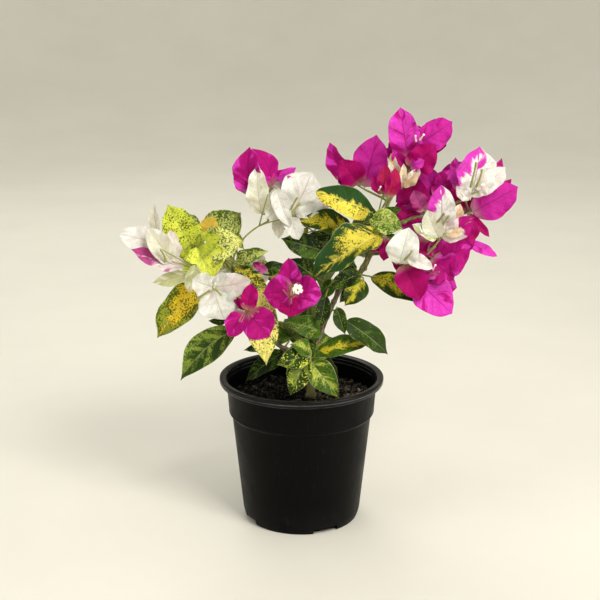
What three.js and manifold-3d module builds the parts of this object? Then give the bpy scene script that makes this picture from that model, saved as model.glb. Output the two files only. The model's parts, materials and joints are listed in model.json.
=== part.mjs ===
// A young bougainvillea bush in its round nursery pot, with splashed leaves and magenta and white bracts.
// Millimetres, +Z up. The origin is the centre of the pot's flat underside, and the bush faces -Y.
import * as THREE from 'three';
import { mergeVertices } from 'three/addons/utils/BufferGeometryUtils.js';
import Module from 'manifold-3d';

const wasm = await Module();
wasm.setup();

// ---- Driving dimensions ----

const GAP = 0.35; // clearance left round every neighbour

const POT = {
  height: 117, // 5-inch round nursery pot
  lipRadius: 65,
  lipDepth: 6.5,
  lipWidth: 2.5, // from the outer edge to the mouth
  lipRound: 1.4,
  mouthSlope: 0.6, // how much the mouth narrows down to the foot of the lip
  bandTopRadius: 59.5,
  bandFootRadius: 57.6,
  bandFootHeight: 88,
  bodyTopRadius: 55.3,
  bodyTopHeight: 84,
  bodyFootRadius: 47,
  chamferHeight: 6,
  footRadius: 45,
  wall: 1.3,
  floor: 2,
  facets: 48,
};

const NOTCH = { // drainage cut-outs round the bottom edge
  angles: [25, 115, 205, 295],
  width: 21,
  height: 4.5,
  innerRadius: 41,
};

const MIX = { // potting mix, a little below the lip
  edgeHeight: 100.5,
  middleHeight: 102.5,
  rings: [0.72, 0.42],
  bump: 0.7,
  lumpWidth: [20, 23, 33], // across X, across Y and on the diagonal
  clearance: 0.5, // to the pot's wall
};

const LIMB = { sides: 8, step: 11 };

// Each limb: its route from root to tip, and its radius at the root and at the tip.
const LIMBS = {
  main_stem: {
    route: [[7.5, -10, 101], [7.4, -9.7, 110], [7, -8.5, 121], [6.7, -7, 134]],
    radii: [2.7, 2.2],
    flare: 0.55,
    flareLength: 7,
  },
  leader: {
    route: [[6.9, -7, 136], [10.6, -6, 142], [15.2, -4, 154], [21.5, -1.5, 169], [27, 0, 181], [31, 1, 189]],
    radii: [2.1, 1.9],
  },
  leader_top: {
    route: [[31.2, 1, 189.8], [37, 1, 193], [44, 1, 196.5], [49, 2, 206], [55, 3, 218], [59, 3, 230]],
    radii: [2.1, 2.6],
  },
  left_bough: {
    route: [[5.5, -7.6, 131], [-1, -9, 137], [-12, -10, 140], [-20, -8, 146], [-31, -4, 155]],
    radii: [1.9, 1.6],
  },
  left_bough_top: {
    route: [[-31.3, -3.9, 155.7], [-40, 0, 169], [-48, 4, 184], [-52.5, 6, 196], [-54, 6.5, 204]],
    radii: [1.6, 1.3],
  },
  left_spray_stalk: {
    route: [[-54.3, 6.7, 205], [-62, 8, 211], [-72, 10, 217]],
    radii: [1.2, 0.9],
  },
  high_flower_stalk: {
    route: [[-53.8, 6, 205.5], [-51, 6, 219], [-43, 5, 229], [-34, 4, 236.5], [-26, 3, 240.5]],
    radii: [1.2, 0.9],
  },
  crown_shoot: {
    route: [[59.5, 4, 231.5], [61, 6, 241], [64.5, 6, 250], [70, 6, 260], [77, 7, 272]],
    radii: [1.5, 0.9],
  },
  right_bough: {
    route: [[60, 4, 231], [75, 7, 238], [92, 8, 244], [110, 9, 250], [128, 12, 257]],
    radii: [1.7, 1],
  },
  low_right_bough: {
    route: [[54, 3, 214], [66, -2, 217], [79, -8, 216], [92, -13, 212]],
    radii: [1.4, 0.9],
  },
  back_bough: {
    route: [[27, 1, 181], [30, 16, 190], [38, 36, 204], [58, 50, 220], [84, 58, 234]],
    radii: [1.7, 1.1],
  },
  back_left_bough: {
    route: [[-40, 1, 169], [-45, 14, 180], [-54, 30, 192], [-66, 42, 204]],
    radii: [1.3, 0.9],
  },
  back_low_bough: {
    route: [[6.7, -6, 132], [4.5, 9, 143], [1, 26, 155], [-1, 38, 166]],
    radii: [1.4, 1],
  },
};

// Each mass of foliage or blossom is an uneven pad. heart is its middle, thick its greatest thickness and
// core the radius that it has all round. turn swings its face about Z and lean tips its top backwards, in
// degrees. Each lobe is a leaf or bract that reaches out of the core: its angle in the face of the pad,
// counted from the right, then how far it reaches, and its fan in degrees where that isn't the usual one.
const USUAL_FAN = 40;
const LOBE_FALL = 0.75; // share of its reach that a lobe loses from its point to the edge of its fan
const PAD = { rim: 18, rings: 4, waviness: 0.16 };

const LEAF = '#3f6b2c';
const LIME = '#c3d548';
const MAGENTA = '#b3137f';
const WHITE = '#e6dfdc';

const MASSES = {
  // left arm
  left_upper_bracts: { color: WHITE, heart: [-112, -8, 231], turn: -20, lean: 10, thick: 22, core: 17,
    lobes: [[90, 25], [180, 31], [-155, 25], [-55, 22]] },
  left_lower_bracts: { color: MAGENTA, heart: [-103, -20, 209], turn: -15, lean: -10, thick: 18, core: 12,
    lobes: [[0, 22], [150, 29], [-130, 18, 30], [-55, 19]] },
  left_lime_leaves: { color: LIME, heart: [-79, 12, 224], turn: -15, lean: 10, thick: 24, core: 24,
    lobes: [[20, 35], [40, 36], [65, 29], [135, 38, 30], [-75, 29], [-5, 33]] },
  left_hanging_leaf: { color: LIME, heart: [-95, -14, 178], turn: -20, lean: -15, thick: 10, core: 15,
    lobes: [[0, 22], [55, 22], [-155, 19], [-125, 38, 30]] },
  left_white_blossom: { color: WHITE, heart: [-64, -32, 194], turn: -10, lean: 5, thick: 22, core: 16,
    lobes: [[15, 27], [55, 19], [155, 20], [-75, 21]] },
  left_lower_leaf: { color: LEAF, heart: [-73, -26, 149], turn: -10, lean: -15, thick: 10, core: 15,
    lobes: [[30, 28, 30], [55, 23], [-150, 20], [-125, 39, 30]] },
  left_magenta_blossom: { color: MAGENTA, heart: [-41, -48, 181], turn: -5, lean: 0, thick: 20, core: 16,
    lobes: [[5, 19], [80, 22], [-120, 21], [-50, 23]] },
  hanging_yellow_leaf: { color: LIME, heart: [-31, -34, 164], turn: 0, lean: -10, thick: 9, core: 12,
    lobes: [[85, 23], [-85, 30, 30], [-55, 15]] },
  mid_left_leaves: { color: LEAF, heart: [-34, 2, 202], turn: -10, lean: 20, thick: 18, core: 14,
    lobes: [[20, 24], [65, 17, 25], [115, 20], [170, 17], [-65, 18], [-20, 25]] },
  high_magenta_bract: { color: MAGENTA, heart: [-40, 4, 279], turn: -10, lean: 5, thick: 12, core: 13,
    lobes: [[35, 18], [90, 19], [-80, 20, 25], [-10, 18, 30]] },
  high_white_blossom: { color: WHITE, heart: [-12, 2, 257], turn: 5, lean: 5, thick: 24, core: 20,
    lobes: [[20, 25], [75, 26], [100, 28], [130, 33, 30], [-170, 25], [-110, 26], [-85, 30], [-55, 25],
      [-10, 29, 25]] },

  // middle, and round the foot of the stem
  mid_magenta_blossom: { color: MAGENTA, heart: [-6, -42, 198], turn: 5, lean: 0, thick: 20, core: 16,
    lobes: [[100, 24], [-170, 22], [-100, 21], [-45, 19], [-10, 21]] },
  centre_upper_leaves: { color: LEAF, heart: [5, 6, 231], turn: 0, lean: 15, thick: 18, core: 14,
    lobes: [[15, 30, 25], [45, 23], [65, 20], [-165, 19, 30], [-105, 24], [-80, 19]] },
  broad_yellow_leaf: { color: LIME, heart: [29, -30, 227], turn: 0, lean: 10, thick: 12, core: 18,
    lobes: [[20, 31, 25], [60, 21], [-155, 29], [-135, 33, 30]] },
  long_upper_leaf: { color: LEAF, heart: [33, -8, 264], turn: 0, lean: 25, thick: 11, core: 10,
    lobes: [[30, 15], [170, 23, 25], [-160, 22, 25], [-35, 27, 25], [-20, 19, 30]] },
  leader_leaves: { color: LEAF, heart: [37, -8, 192], turn: 5, lean: 0, thick: 18, core: 11,
    lobes: [[170, 16], [-115, 15], [-100, 16, 30], [-10, 15]] },
  inner_side_leaf: { color: LEAF, heart: [12, -8, 171], turn: 0, lean: 0, thick: 12, core: 8,
    lobes: [[65, 15], [-130, 7], [-75, 13]] },
  inner_olive_leaves: { color: LEAF, heart: [-2, -6, 157], turn: 0, lean: 10, thick: 18, core: 11,
    lobes: [[175, 20], [-155, 25, 30], [-45, 14], [-5, 18, 30]] },
  foot_left_leaves: { color: LEAF, heart: [-6, -26, 134], turn: -5, lean: -10, thick: 16, core: 13,
    lobes: [[55, 21], [75, 21], [-95, 27, 30]] },
  foot_right_leaf: { color: LEAF, heart: [20, -26, 127], turn: 10, lean: -15, thick: 11, core: 9,
    lobes: [[95, 15], [120, 22], [140, 18, 30], [-70, 26, 30], [-20, 12]] },
  leaf_over_pot: { color: LEAF, heart: [-30, 24, 117], turn: -15, lean: -10, thick: 9, core: 8,
    lobes: [[30, 20], [70, 15], [-135, 23, 30]] },
  low_right_leaf: { color: LEAF, heart: [32, 0, 144], turn: 10, lean: 15, thick: 11, core: 9,
    lobes: [[25, 13], [140, 13], [-160, 21, 30], [-5, 22, 25]] },
  far_right_leaf: { color: LEAF, heart: [50, -6, 156], turn: 15, lean: 5, thick: 11, core: 12,
    lobes: [[155, 17], [-50, 27, 30], [-15, 15]] },
  right_yellow_leaf: { color: LIME, heart: [71, -4, 199], turn: 15, lean: 10, thick: 11, core: 12,
    lobes: [[30, 16], [180, 18, 30], [-40, 33, 25]] },

  // crown on the right
  crown_heart_leaves: { color: LEAF, heart: [62, -18, 241], turn: 10, lean: 20, thick: 18, core: 13,
    lobes: [[35, 18], [70, 15], [170, 15]] },
  crown_left_blossom: { color: MAGENTA, heart: [43, 10, 285], turn: -15, lean: 5, thick: 26, core: 18,
    lobes: [[55, 25], [150, 25], [-135, 23], [-25, 21]] },
  crown_bud_bracts: { color: MAGENTA, heart: [63, -6, 274], turn: 0, lean: 5, thick: 12, core: 9,
    lobes: [[50, 11], [85, 12], [-75, 13, 30]] },
  crown_top_blossom: { color: MAGENTA, heart: [85, 10, 299], turn: 10, lean: 10, thick: 28, core: 18,
    lobes: [[0, 29], [30, 35], [105, 29]] },
  crown_peach_bracts: { color: MAGENTA, heart: [78, 2, 281], turn: 5, lean: 5, thick: 12, core: 9,
    lobes: [[5, 12], [130, 14], [-90, 13], [-50, 12]] },
  crown_middle_blossom: { color: MAGENTA, heart: [91, 22, 259], turn: 10, lean: 5, thick: 26, core: 19,
    lobes: [[10, 26], [35, 31], [-125, 22], [-75, 22]] },
  crown_white_blossom: { color: WHITE, heart: [133, -4, 280], turn: 20, lean: 5, thick: 24, core: 18,
    lobes: [[5, 24, 25], [165, 22], [-110, 23]] },
  crown_right_blossom: { color: MAGENTA, heart: [146, 16, 258], turn: 30, lean: 5, thick: 26, core: 17,
    lobes: [[10, 28], [40, 21, 30], [65, 30, 25], [180, 23], [-150, 22], [-90, 31, 20]] },
  crown_bicolour_blossom: { color: WHITE, heart: [104, -22, 254], turn: 5, lean: 5, thick: 24, core: 17,
    lobes: [[-150, 24, 30], [-110, 22], [-80, 21], [-20, 28, 30]] },
  crown_outer_bracts: { color: MAGENTA, heart: [124, 4, 230], turn: 15, lean: 0, thick: 16, core: 12,
    lobes: [[110, 14], [-60, 15], [-35, 36, 20]] },
  crown_pale_bract: { color: WHITE, heart: [77, -26, 227], turn: 0, lean: 10, thick: 16, core: 13,
    lobes: [[80, 14], [-130, 15], [-40, 26, 30]] },
  crown_low_blossom: { color: MAGENTA, heart: [108, -16, 218], turn: 10, lean: 5, thick: 24, core: 17,
    lobes: [[10, 21], [165, 24, 30], [-70, 20]] },
  crown_lowest_blossom: { color: MAGENTA, heart: [96, -18, 194], turn: 5, lean: -10, thick: 20, core: 15,
    lobes: [[120, 24], [145, 34, 30], [-165, 18], [-50, 30], [-5, 24]] },

  // far side
  back_crown_blossoms: { color: MAGENTA, heart: [105, 62, 242], turn: 15, lean: 0, thick: 26, core: 24,
    lobes: [[35, 32], [90, 29], [145, 32], [-120, 29], [-70, 41], [-15, 35]] },
  back_top_blossom: { color: MAGENTA, heart: [90, 50, 291], turn: 10, lean: 5, thick: 22, core: 16,
    lobes: [[25, 21], [75, 19], [135, 21]] },
  back_crown_leaves: { color: LEAF, heart: [35, 48, 209], turn: -10, lean: -5, thick: 20, core: 18,
    lobes: [[25, 24], [165, 21], [-40, 18]] },
  back_left_leaves: { color: LIME, heart: [-78, 48, 214], turn: 10, lean: 0, thick: 20, core: 20,
    lobes: [[35, 24], [90, 23], [140, 27], [-85, 23], [-20, 23]] },
  back_left_blossom: { color: WHITE, heart: [-56, 40, 176], turn: 0, lean: 5, thick: 22, core: 16,
    lobes: [[10, 24], [160, 24], [-155, 24], [-100, 20], [-45, 24]] },
  back_middle_leaves: { color: LEAF, heart: [-1, 46, 173], turn: 0, lean: 0, thick: 22, core: 20,
    lobes: [[-145, 24], [-100, 23], [-50, 22]] },
  back_low_leaves: { color: LEAF, heart: [5, 34, 127], turn: 0, lean: -15, thick: 16, core: 14,
    lobes: [[15, 17], [95, 17], [155, 19], [-125, 23], [-60, 20]] },
};

// ---- Solids: closed geometries joined and cut by manifold ----

// Merge the shared corners of a geometry and drop the triangles that close up at its poles.
function welded(geometry) {
  const bare = geometry.clone();
  bare.deleteAttribute('normal');
  bare.deleteAttribute('uv');
  const merged = mergeVertices(bare, 1e-4);
  const corners = merged.index.array;
  const kept = [];
  for (let i = 0; i < corners.length; i += 3) {
    const [a, b, c] = corners.slice(i, i + 3);
    if (a !== b && b !== c && c !== a) kept.push(a, b, c);
  }
  merged.setIndex(kept);
  return merged;
}

function toSolid(geometry) {
  const merged = welded(geometry);
  return new wasm.Manifold(new wasm.Mesh({
    numProp: 3,
    vertProperties: Float32Array.from(merged.attributes.position.array),
    triVerts: Uint32Array.from(merged.index.array),
  }));
}

function toGeometry(solid) {
  const mesh = solid.getMesh();
  const geometry = new THREE.BufferGeometry();
  geometry.setAttribute('position', new THREE.Float32BufferAttribute(mesh.vertProperties, 3));
  geometry.setIndex([...mesh.triVerts]);
  geometry.computeVertexNormals();
  return geometry;
}

// The same solid with every corner moved outwards by the clearance.
function grown(geometry) {
  const merged = welded(geometry);
  merged.computeVertexNormals();
  const { position, normal } = merged.attributes;
  for (let i = 0; i < position.count; i += 1) {
    position.setXYZ(
      i,
      position.getX(i) + GAP * normal.getX(i),
      position.getY(i) + GAP * normal.getY(i),
      position.getZ(i) + GAP * normal.getZ(i),
    );
  }
  return toSolid(merged);
}

function largestPiece(solid) {
  const pieces = solid.decompose();
  return pieces.reduce((best, piece) => (piece.volume() > best.volume() ? piece : best));
}

// ---- Pot and potting mix ----

function innerRadius(z) {
  const heights = [POT.chamferHeight, POT.bodyTopHeight, POT.bandFootHeight, POT.height - POT.lipDepth];
  const radii = [POT.bodyFootRadius, POT.bodyTopRadius, POT.bandFootRadius, POT.bandTopRadius];
  const found = heights.findIndex((height) => z <= height);
  const upper = Math.max(1, found < 0 ? heights.length - 1 : found);
  const share = (z - heights[upper - 1]) / (heights[upper] - heights[upper - 1]);
  return THREE.MathUtils.lerp(radii[upper - 1], radii[upper], share) - POT.wall;
}

// Points along a rounded corner from one bearing to another, in degrees.
function roundCorner(radius, z, size, from, to, count = 3) {
  return Array.from({ length: count }, (_, i) => {
    const bearing = THREE.MathUtils.degToRad(THREE.MathUtils.lerp(from, to, i / (count - 1)));
    return [radius + size * Math.cos(bearing), z + size * Math.sin(bearing)];
  });
}

function potSolid() {
  const lipFoot = POT.height - POT.lipDepth;
  const { lipRadius, lipRound, lipWidth, mouthSlope, wall } = POT;
  const profile = [
    [0, 0],
    [POT.footRadius, 0],
    [POT.bodyFootRadius, POT.chamferHeight],
    [POT.bodyTopRadius, POT.bodyTopHeight],
    [POT.bandFootRadius, POT.bandFootHeight],
    [POT.bandTopRadius, lipFoot],
    ...roundCorner(lipRadius - lipRound, lipFoot + lipRound, lipRound, -90, 0),
    ...roundCorner(lipRadius - lipRound, POT.height - lipRound, lipRound, 0, 90),
    [lipRadius - lipWidth, POT.height],
    [lipRadius - lipWidth - mouthSlope, lipFoot + wall],
    [POT.bandTopRadius - wall, lipFoot],
    [POT.bandFootRadius - wall, POT.bandFootHeight],
    [POT.bodyTopRadius - wall, POT.bodyTopHeight],
    [POT.bodyFootRadius - wall, POT.chamferHeight],
    [POT.footRadius - wall, POT.floor],
    [0, POT.floor],
  ];
  const shell = new THREE.LatheGeometry(profile.map(([r, z]) => new THREE.Vector2(r, z)), POT.facets);
  shell.rotateX(Math.PI / 2);
  let solid = toSolid(shell);
  for (const angle of NOTCH.angles) {
    const depth = POT.bodyFootRadius + 3 - NOTCH.innerRadius;
    const cutter = new THREE.BoxGeometry(NOTCH.width, depth, 2 * NOTCH.height);
    cutter.translate(0, -(NOTCH.innerRadius + depth / 2), 0);
    cutter.rotateZ(THREE.MathUtils.degToRad(angle));
    solid = solid.subtract(toSolid(cutter));
  }
  return solid;
}

function mixSolid() {
  const { edgeHeight, middleHeight, rings, bump, lumpWidth, clearance } = MIX;
  const side = [POT.chamferHeight, POT.bodyTopHeight, POT.bandFootHeight, edgeHeight];
  const top = rings.map((share) => [
    share * innerRadius(edgeHeight),
    THREE.MathUtils.lerp(middleHeight, edgeHeight, share * share),
  ]);
  const profile = [
    [0, POT.floor + clearance],
    [POT.footRadius - POT.wall - clearance, POT.floor + clearance],
    ...side.map((z) => [innerRadius(z) - clearance, z]),
    ...top,
    [0, middleHeight],
  ];
  const plug = new THREE.LatheGeometry(profile.map(([r, z]) => new THREE.Vector2(r, z)), POT.facets);
  plug.rotateX(Math.PI / 2);
  const { position } = plug.attributes;
  for (let i = 0; i < position.count; i += 1) {
    const [x, y, z] = [position.getX(i), position.getY(i), position.getZ(i)];
    const [across, along, skew] = [x, y, x - y].map((way, k) => (2 * Math.PI * way) / lumpWidth[k]);
    const lumps = Math.sin(across) * Math.cos(along) + 0.6 * Math.sin(skew);
    if (z > edgeHeight + 0.1) position.setZ(i, z + bump * lumps);
  }
  return toSolid(plug);
}

// ---- Limbs ----

// A tapering round bar bent along a smooth curve through its route, with its root swollen by the flare.
function limbGeometry({ route, radii, flare = 0, flareLength = 1 }) {
  const curve = new THREE.CatmullRomCurve3(route.map((point) => new THREE.Vector3(...point)));
  const length = curve.getLength();
  const steps = Math.max(3, Math.round(length / LIMB.step));
  const frames = curve.computeFrenetFrames(steps, false);
  const bar = new THREE.CylinderGeometry(1, 1, 1, LIMB.sides, steps);
  const { position } = bar.attributes;
  for (let i = 0; i < position.count; i += 1) {
    const ring = Math.round((position.getY(i) + 0.5) * steps);
    const swell = 1 + flare * Math.exp((-ring * length) / steps / flareLength);
    const radius = THREE.MathUtils.lerp(...radii, ring / steps) * swell;
    const point = curve.getPointAt(ring / steps);
    point.addScaledVector(frames.normals[ring], radius * position.getX(i));
    point.addScaledVector(frames.binormals[ring], -radius * position.getZ(i));
    if (flare > 0 && ring === 0) point.z = route[0][2];
    position.setXYZ(i, point.x, point.y, point.z);
  }
  return bar;
}

// ---- Masses ----

// How far the pad reaches at an angle: its core, or the lobe that comes furthest there.
function padReach(angle, { core, lobes }) {
  const reaches = lobes.map(([bearing, reach, fan = USUAL_FAN]) => {
    const off = Math.abs(THREE.MathUtils.euclideanModulo(angle - bearing + 180, 360) - 180);
    return off < fan ? reach * (1 - (LOBE_FALL * off) / fan) : 0;
  });
  return Math.max(core, ...reaches);
}

// Evenly spaced angles round the rim, with the nearest one moved onto the point of each lobe.
function rimAngles(lobes) {
  const angles = Array.from({ length: PAD.rim }, (_, i) => (i * 360) / PAD.rim);
  for (const [bearing] of lobes) {
    const around = THREE.MathUtils.euclideanModulo(bearing, 360);
    const nearest = Math.round((around * PAD.rim) / 360) % PAD.rim;
    angles[nearest] = nearest === 0 && around > 180 ? around - 360 : around;
  }
  return angles;
}

// A sphere pressed flat, with its rim drawn out to the lobes and its face gently waved.
function padGeometry(mass, phase) {
  const angles = rimAngles(mass.lobes);
  const pad = new THREE.SphereGeometry(1, PAD.rim, PAD.rings);
  const { position } = pad.attributes;
  for (let i = 0; i < position.count; i += 1) {
    const column = i % (PAD.rim + 1);
    const angle = angles[(PAD.rim - column) % PAD.rim];
    const height = position.getY(i);
    const share = Math.sqrt(Math.max(0, 1 - height * height));
    const reach = share * padReach(angle, mass);
    const turn = THREE.MathUtils.degToRad(angle);
    const wave = PAD.waviness * share * share * Math.sin(2 * turn + phase);
    position.setXYZ(i, reach * Math.cos(turn), mass.thick * (height / 2 + wave), reach * Math.sin(turn));
  }
  pad.rotateX(-THREE.MathUtils.degToRad(mass.lean));
  pad.rotateZ(THREE.MathUtils.degToRad(mass.turn));
  pad.translate(...mass.heart);
  return pad;
}

// ---- Assembly ----

const plastic = new THREE.MeshStandardMaterial({ color: '#141415', roughness: 0.42, metalness: 0 });
const peat = new THREE.MeshStandardMaterial({ color: '#1d1713', roughness: 0.95, metalness: 0 });
const bark = new THREE.MeshStandardMaterial({ color: '#5f5430', roughness: 0.8, metalness: 0 });
const foliage = (color) => new THREE.MeshStandardMaterial({ color, roughness: 0.6, metalness: 0 });

const group = new THREE.Group();
const placed = []; // what later solids are cut back from

// Cut a solid clear of everything placed before it, and hang it in the group about its own middle.
function place(name, solid, material) {
  const box = solid.boundingBox();
  const clear = placed
    .filter(({ low, high }) => low.every((v, i) => v < box.max[i]) && high.every((v, i) => v > box.min[i]))
    .reduce((rest, { swollen }) => rest.subtract(swollen), solid);
  const geometry = toGeometry(largestPiece(clear));
  const swollen = grown(geometry);
  const reach = swollen.boundingBox();
  placed.push({ swollen, low: reach.min, high: reach.max });
  geometry.computeBoundingBox();
  const middle = geometry.boundingBox.getCenter(new THREE.Vector3());
  geometry.translate(-middle.x, -middle.y, -middle.z);
  const mesh = new THREE.Mesh(geometry, material);
  mesh.name = name;
  mesh.position.copy(middle);
  group.add(mesh);
}

place('pot', potSolid(), plastic);
for (const [name, limb] of Object.entries(LIMBS)) {
  place(name, toSolid(limbGeometry(limb)), bark);
}
place('potting_mix', mixSolid(), peat);
Object.entries(MASSES).forEach(([name, mass], index) => {
  place(name, toSolid(padGeometry(mass, index)), foliage(mass.color));
});

export default group;
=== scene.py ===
import json
import math

import bpy
import numpy as np
from bpy.props import FloatProperty, FloatVectorProperty, IntProperty, PointerProperty
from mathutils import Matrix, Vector
from mathutils.bvhtree import BVHTree


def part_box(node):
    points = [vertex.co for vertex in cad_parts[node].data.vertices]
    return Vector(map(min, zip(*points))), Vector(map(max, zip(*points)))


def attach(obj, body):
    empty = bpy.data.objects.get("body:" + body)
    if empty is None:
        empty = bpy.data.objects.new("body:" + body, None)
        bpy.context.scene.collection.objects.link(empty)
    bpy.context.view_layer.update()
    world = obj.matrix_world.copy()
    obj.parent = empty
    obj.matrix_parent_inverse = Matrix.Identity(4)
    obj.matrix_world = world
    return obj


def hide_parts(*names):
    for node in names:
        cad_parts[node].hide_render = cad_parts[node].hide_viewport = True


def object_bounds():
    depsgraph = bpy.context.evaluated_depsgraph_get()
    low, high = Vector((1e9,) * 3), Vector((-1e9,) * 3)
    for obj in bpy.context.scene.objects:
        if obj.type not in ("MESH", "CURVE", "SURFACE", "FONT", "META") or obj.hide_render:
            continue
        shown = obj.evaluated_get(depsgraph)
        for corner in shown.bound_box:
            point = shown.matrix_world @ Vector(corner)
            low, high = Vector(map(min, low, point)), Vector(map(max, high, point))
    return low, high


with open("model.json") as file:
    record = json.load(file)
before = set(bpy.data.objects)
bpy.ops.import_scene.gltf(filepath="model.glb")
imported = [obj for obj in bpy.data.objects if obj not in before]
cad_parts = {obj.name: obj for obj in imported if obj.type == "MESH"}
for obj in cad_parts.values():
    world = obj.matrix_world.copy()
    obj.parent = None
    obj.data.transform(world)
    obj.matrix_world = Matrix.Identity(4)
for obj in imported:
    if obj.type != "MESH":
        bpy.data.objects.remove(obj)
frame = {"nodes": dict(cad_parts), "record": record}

bl_info = {
    "name": "Potted bougainvillea",
    "version": (1, 0, 0),
    "blender": (4, 5, 0),
    "location": "3D View > Sidebar > Bougainvillea",
    "description": "A young bougainvillea with splashed leaves and papery bracts in a nursery pot",
    "category": "Object",
}

CAD_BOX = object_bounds()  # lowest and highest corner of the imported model
MM = 0.001
CM = 0.01


# ---------------------------------------------------------------- what the bush is made of

# Where each limb springs from, lowest first. The main stem stands in the potting mix.
SPRINGS_FROM = {
    "main_stem": None,
    "leader": "main_stem",
    "left_bough": "main_stem",
    "back_low_bough": "main_stem",
    "leader_top": "leader",
    "back_bough": "leader",
    "left_bough_top": "left_bough",
    "back_left_bough": "left_bough_top",
    "left_spray_stalk": "left_bough_top",
    "high_flower_stalk": "left_bough_top",
    "crown_shoot": "leader_top",
    "right_bough": "leader_top",
    "low_right_bough": "leader_top",
}

# Leaf looks: ground colour, colour of the splashes, colour of the flecks, then
# cover (how much the splashes take), rim (more splash towards the edge, less at the midrib),
# side (more on the right half), tip (more towards the tip), fleck (how many flecks) and
# edge (how pale the very edge is).
LEAF_LOOKS = {
    "lime":        ("lime", "olive", "dark", -0.30, 0.10, 0.00, -0.05, 0.045, 0.1),
    "plainlime":   ("sprout", "moss", "dark", -0.12, 0.05, 0.00, 0.00, -0.08, 0.1),
    "yellow":      ("butter", "moss", "dark", -0.18, 0.22, 0.00, -0.05, 0.02, 0.1),
    "citrus":      ("citrus", "lime", "olive", -0.26, 0.20, 0.00, -0.05, -0.01, 0.1),
    "speckle":     ("pale", "moss", "dark", -0.28, 0.10, 0.00, 0.00, 0.07, 0.1),
    "darkspeckle": ("sage", "moss", "dark", -0.18, 0.10, 0.00, 0.05, 0.09, 0.1),
    "orange":      ("apricot", "gold", "olive", -0.16, 0.20, 0.00, 0.00, -0.12, 0.2),
    "hanging":     ("gold", "olive", "dark", -0.09, 0.46, 0.04, 0.52, 0.06, 0.2),
    "goldheart":   ("brass", "dark", "dark", -0.05, 0.36, 0.00, 0.04, 0.03, 0.3),
    "smallheart":  ("brass", "green", "dark", 0.03, 0.44, 0.00, 0.10, 0.00, 0.5),
    "limeheart":   ("spring", "green", "dark", -0.01, 0.26, 0.00, 0.04, 0.03, 0.3),
    "halves":      ("lemon", "teal", "dark", -0.09, 0.12, 0.46, -0.02, 0.01, 0.3),
    "sector":      ("lemon", "teal", "dark", -0.055, 0.22, 0.02, 0.30, 0.03, 0.4),
    "marble":      ("lemon", "dark", "dark", -0.05, 0.16, 0.10, 0.00, 0.05, 0.2),
    "marblelime":  ("spring", "green", "dark", -0.03, 0.16, 0.00, 0.00, 0.02, 0.6),
    "marblegreen": ("moss", "dark", "lime", 0.04, 0.10, 0.00, 0.00, -0.02, 0.5),
    "darkmarble":  ("moss", "dark", "dark", -0.04, -0.02, -0.08, 0.05, 0.05, 0.2),
    "grey":        ("moss", "green", "sage", -0.02, 0.05, 0.00, 0.00, 0.04, 0.3),
    "olive":       ("moss", "green", "dark", 0.02, 0.05, 0.00, 0.00, 0.04, 0.2),
    "copper":      ("copper", "moss", "gold", -0.03, 0.05, 0.00, 0.00, -0.02, 0.1),
    "green":       ("green", "dark", "moss", 0.07, 0.05, 0.00, 0.00, -0.05, 0.3),
    "dark":        ("green", "deep", "moss", 0.03, 0.00, 0.00, 0.00, -0.03, 0.2),
    "shade":       ("green", "deep", "moss", 0.04, 0.00, 0.00, 0.00, -0.06, 0.2),
}

# Bract looks, in the same order; here the flecks are the colour of the veins.
BRACT_LOOKS = {
    "magenta":  ("magenta", "bright", "wine", -0.10, 0.05, 0.00, 0.05, -0.30, 0.0),
    "bright":   ("bright", "magenta", "wine", -0.10, 0.05, 0.00, -0.10, -0.30, 0.0),
    # the deep look is the magenta in shade: a painted shade on a crimson ground
    "deep":     ("crimson", "magenta", "wine", -0.10, 0.05, 0.00, 0.05, -0.30, 0.0),
    "mauve":    ("mauve", "crimson", "wine", -0.12, 0.10, 0.00, 0.00, -0.30, 0.0),
    "red":      ("rose", "crimson", "wine", -0.08, 0.10, 0.00, 0.05, -0.30, 0.0),
    "white":    ("white", "blush", "stone", -0.14, 0.05, 0.00, -0.05, -0.30, 0.0),
    "blush":    ("blush", "white", "stone", -0.06, 0.00, 0.00, -0.10, -0.30, 0.0),
    "cream":    ("cream", "white", "stone", -0.08, 0.05, 0.00, 0.05, -0.30, 0.0),
    "celery":   ("celery", "cream", "stone", -0.06, 0.05, 0.00, 0.10, -0.30, 0.0),
    "peach":    ("peach", "cream", "rose", -0.06, 0.05, 0.00, 0.00, -0.30, 0.0),
    "vivid":    ("vivid", "magenta", "wine", -0.10, 0.05, 0.00, -0.10, -0.30, 0.0),
    "tipped":   ("blush", "magenta", "wine", -0.06, 0.08, 0.06, 0.60, -0.30, 0.0),
    "dipped":   ("blush", "mauve", "wine", -0.06, 0.08, 0.06, 0.60, -0.30, 0.0),
    "bicolour": ("white", "bright", "wine", -0.08, 0.05, -0.26, 0.46, -0.30, 0.0),
}

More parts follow.
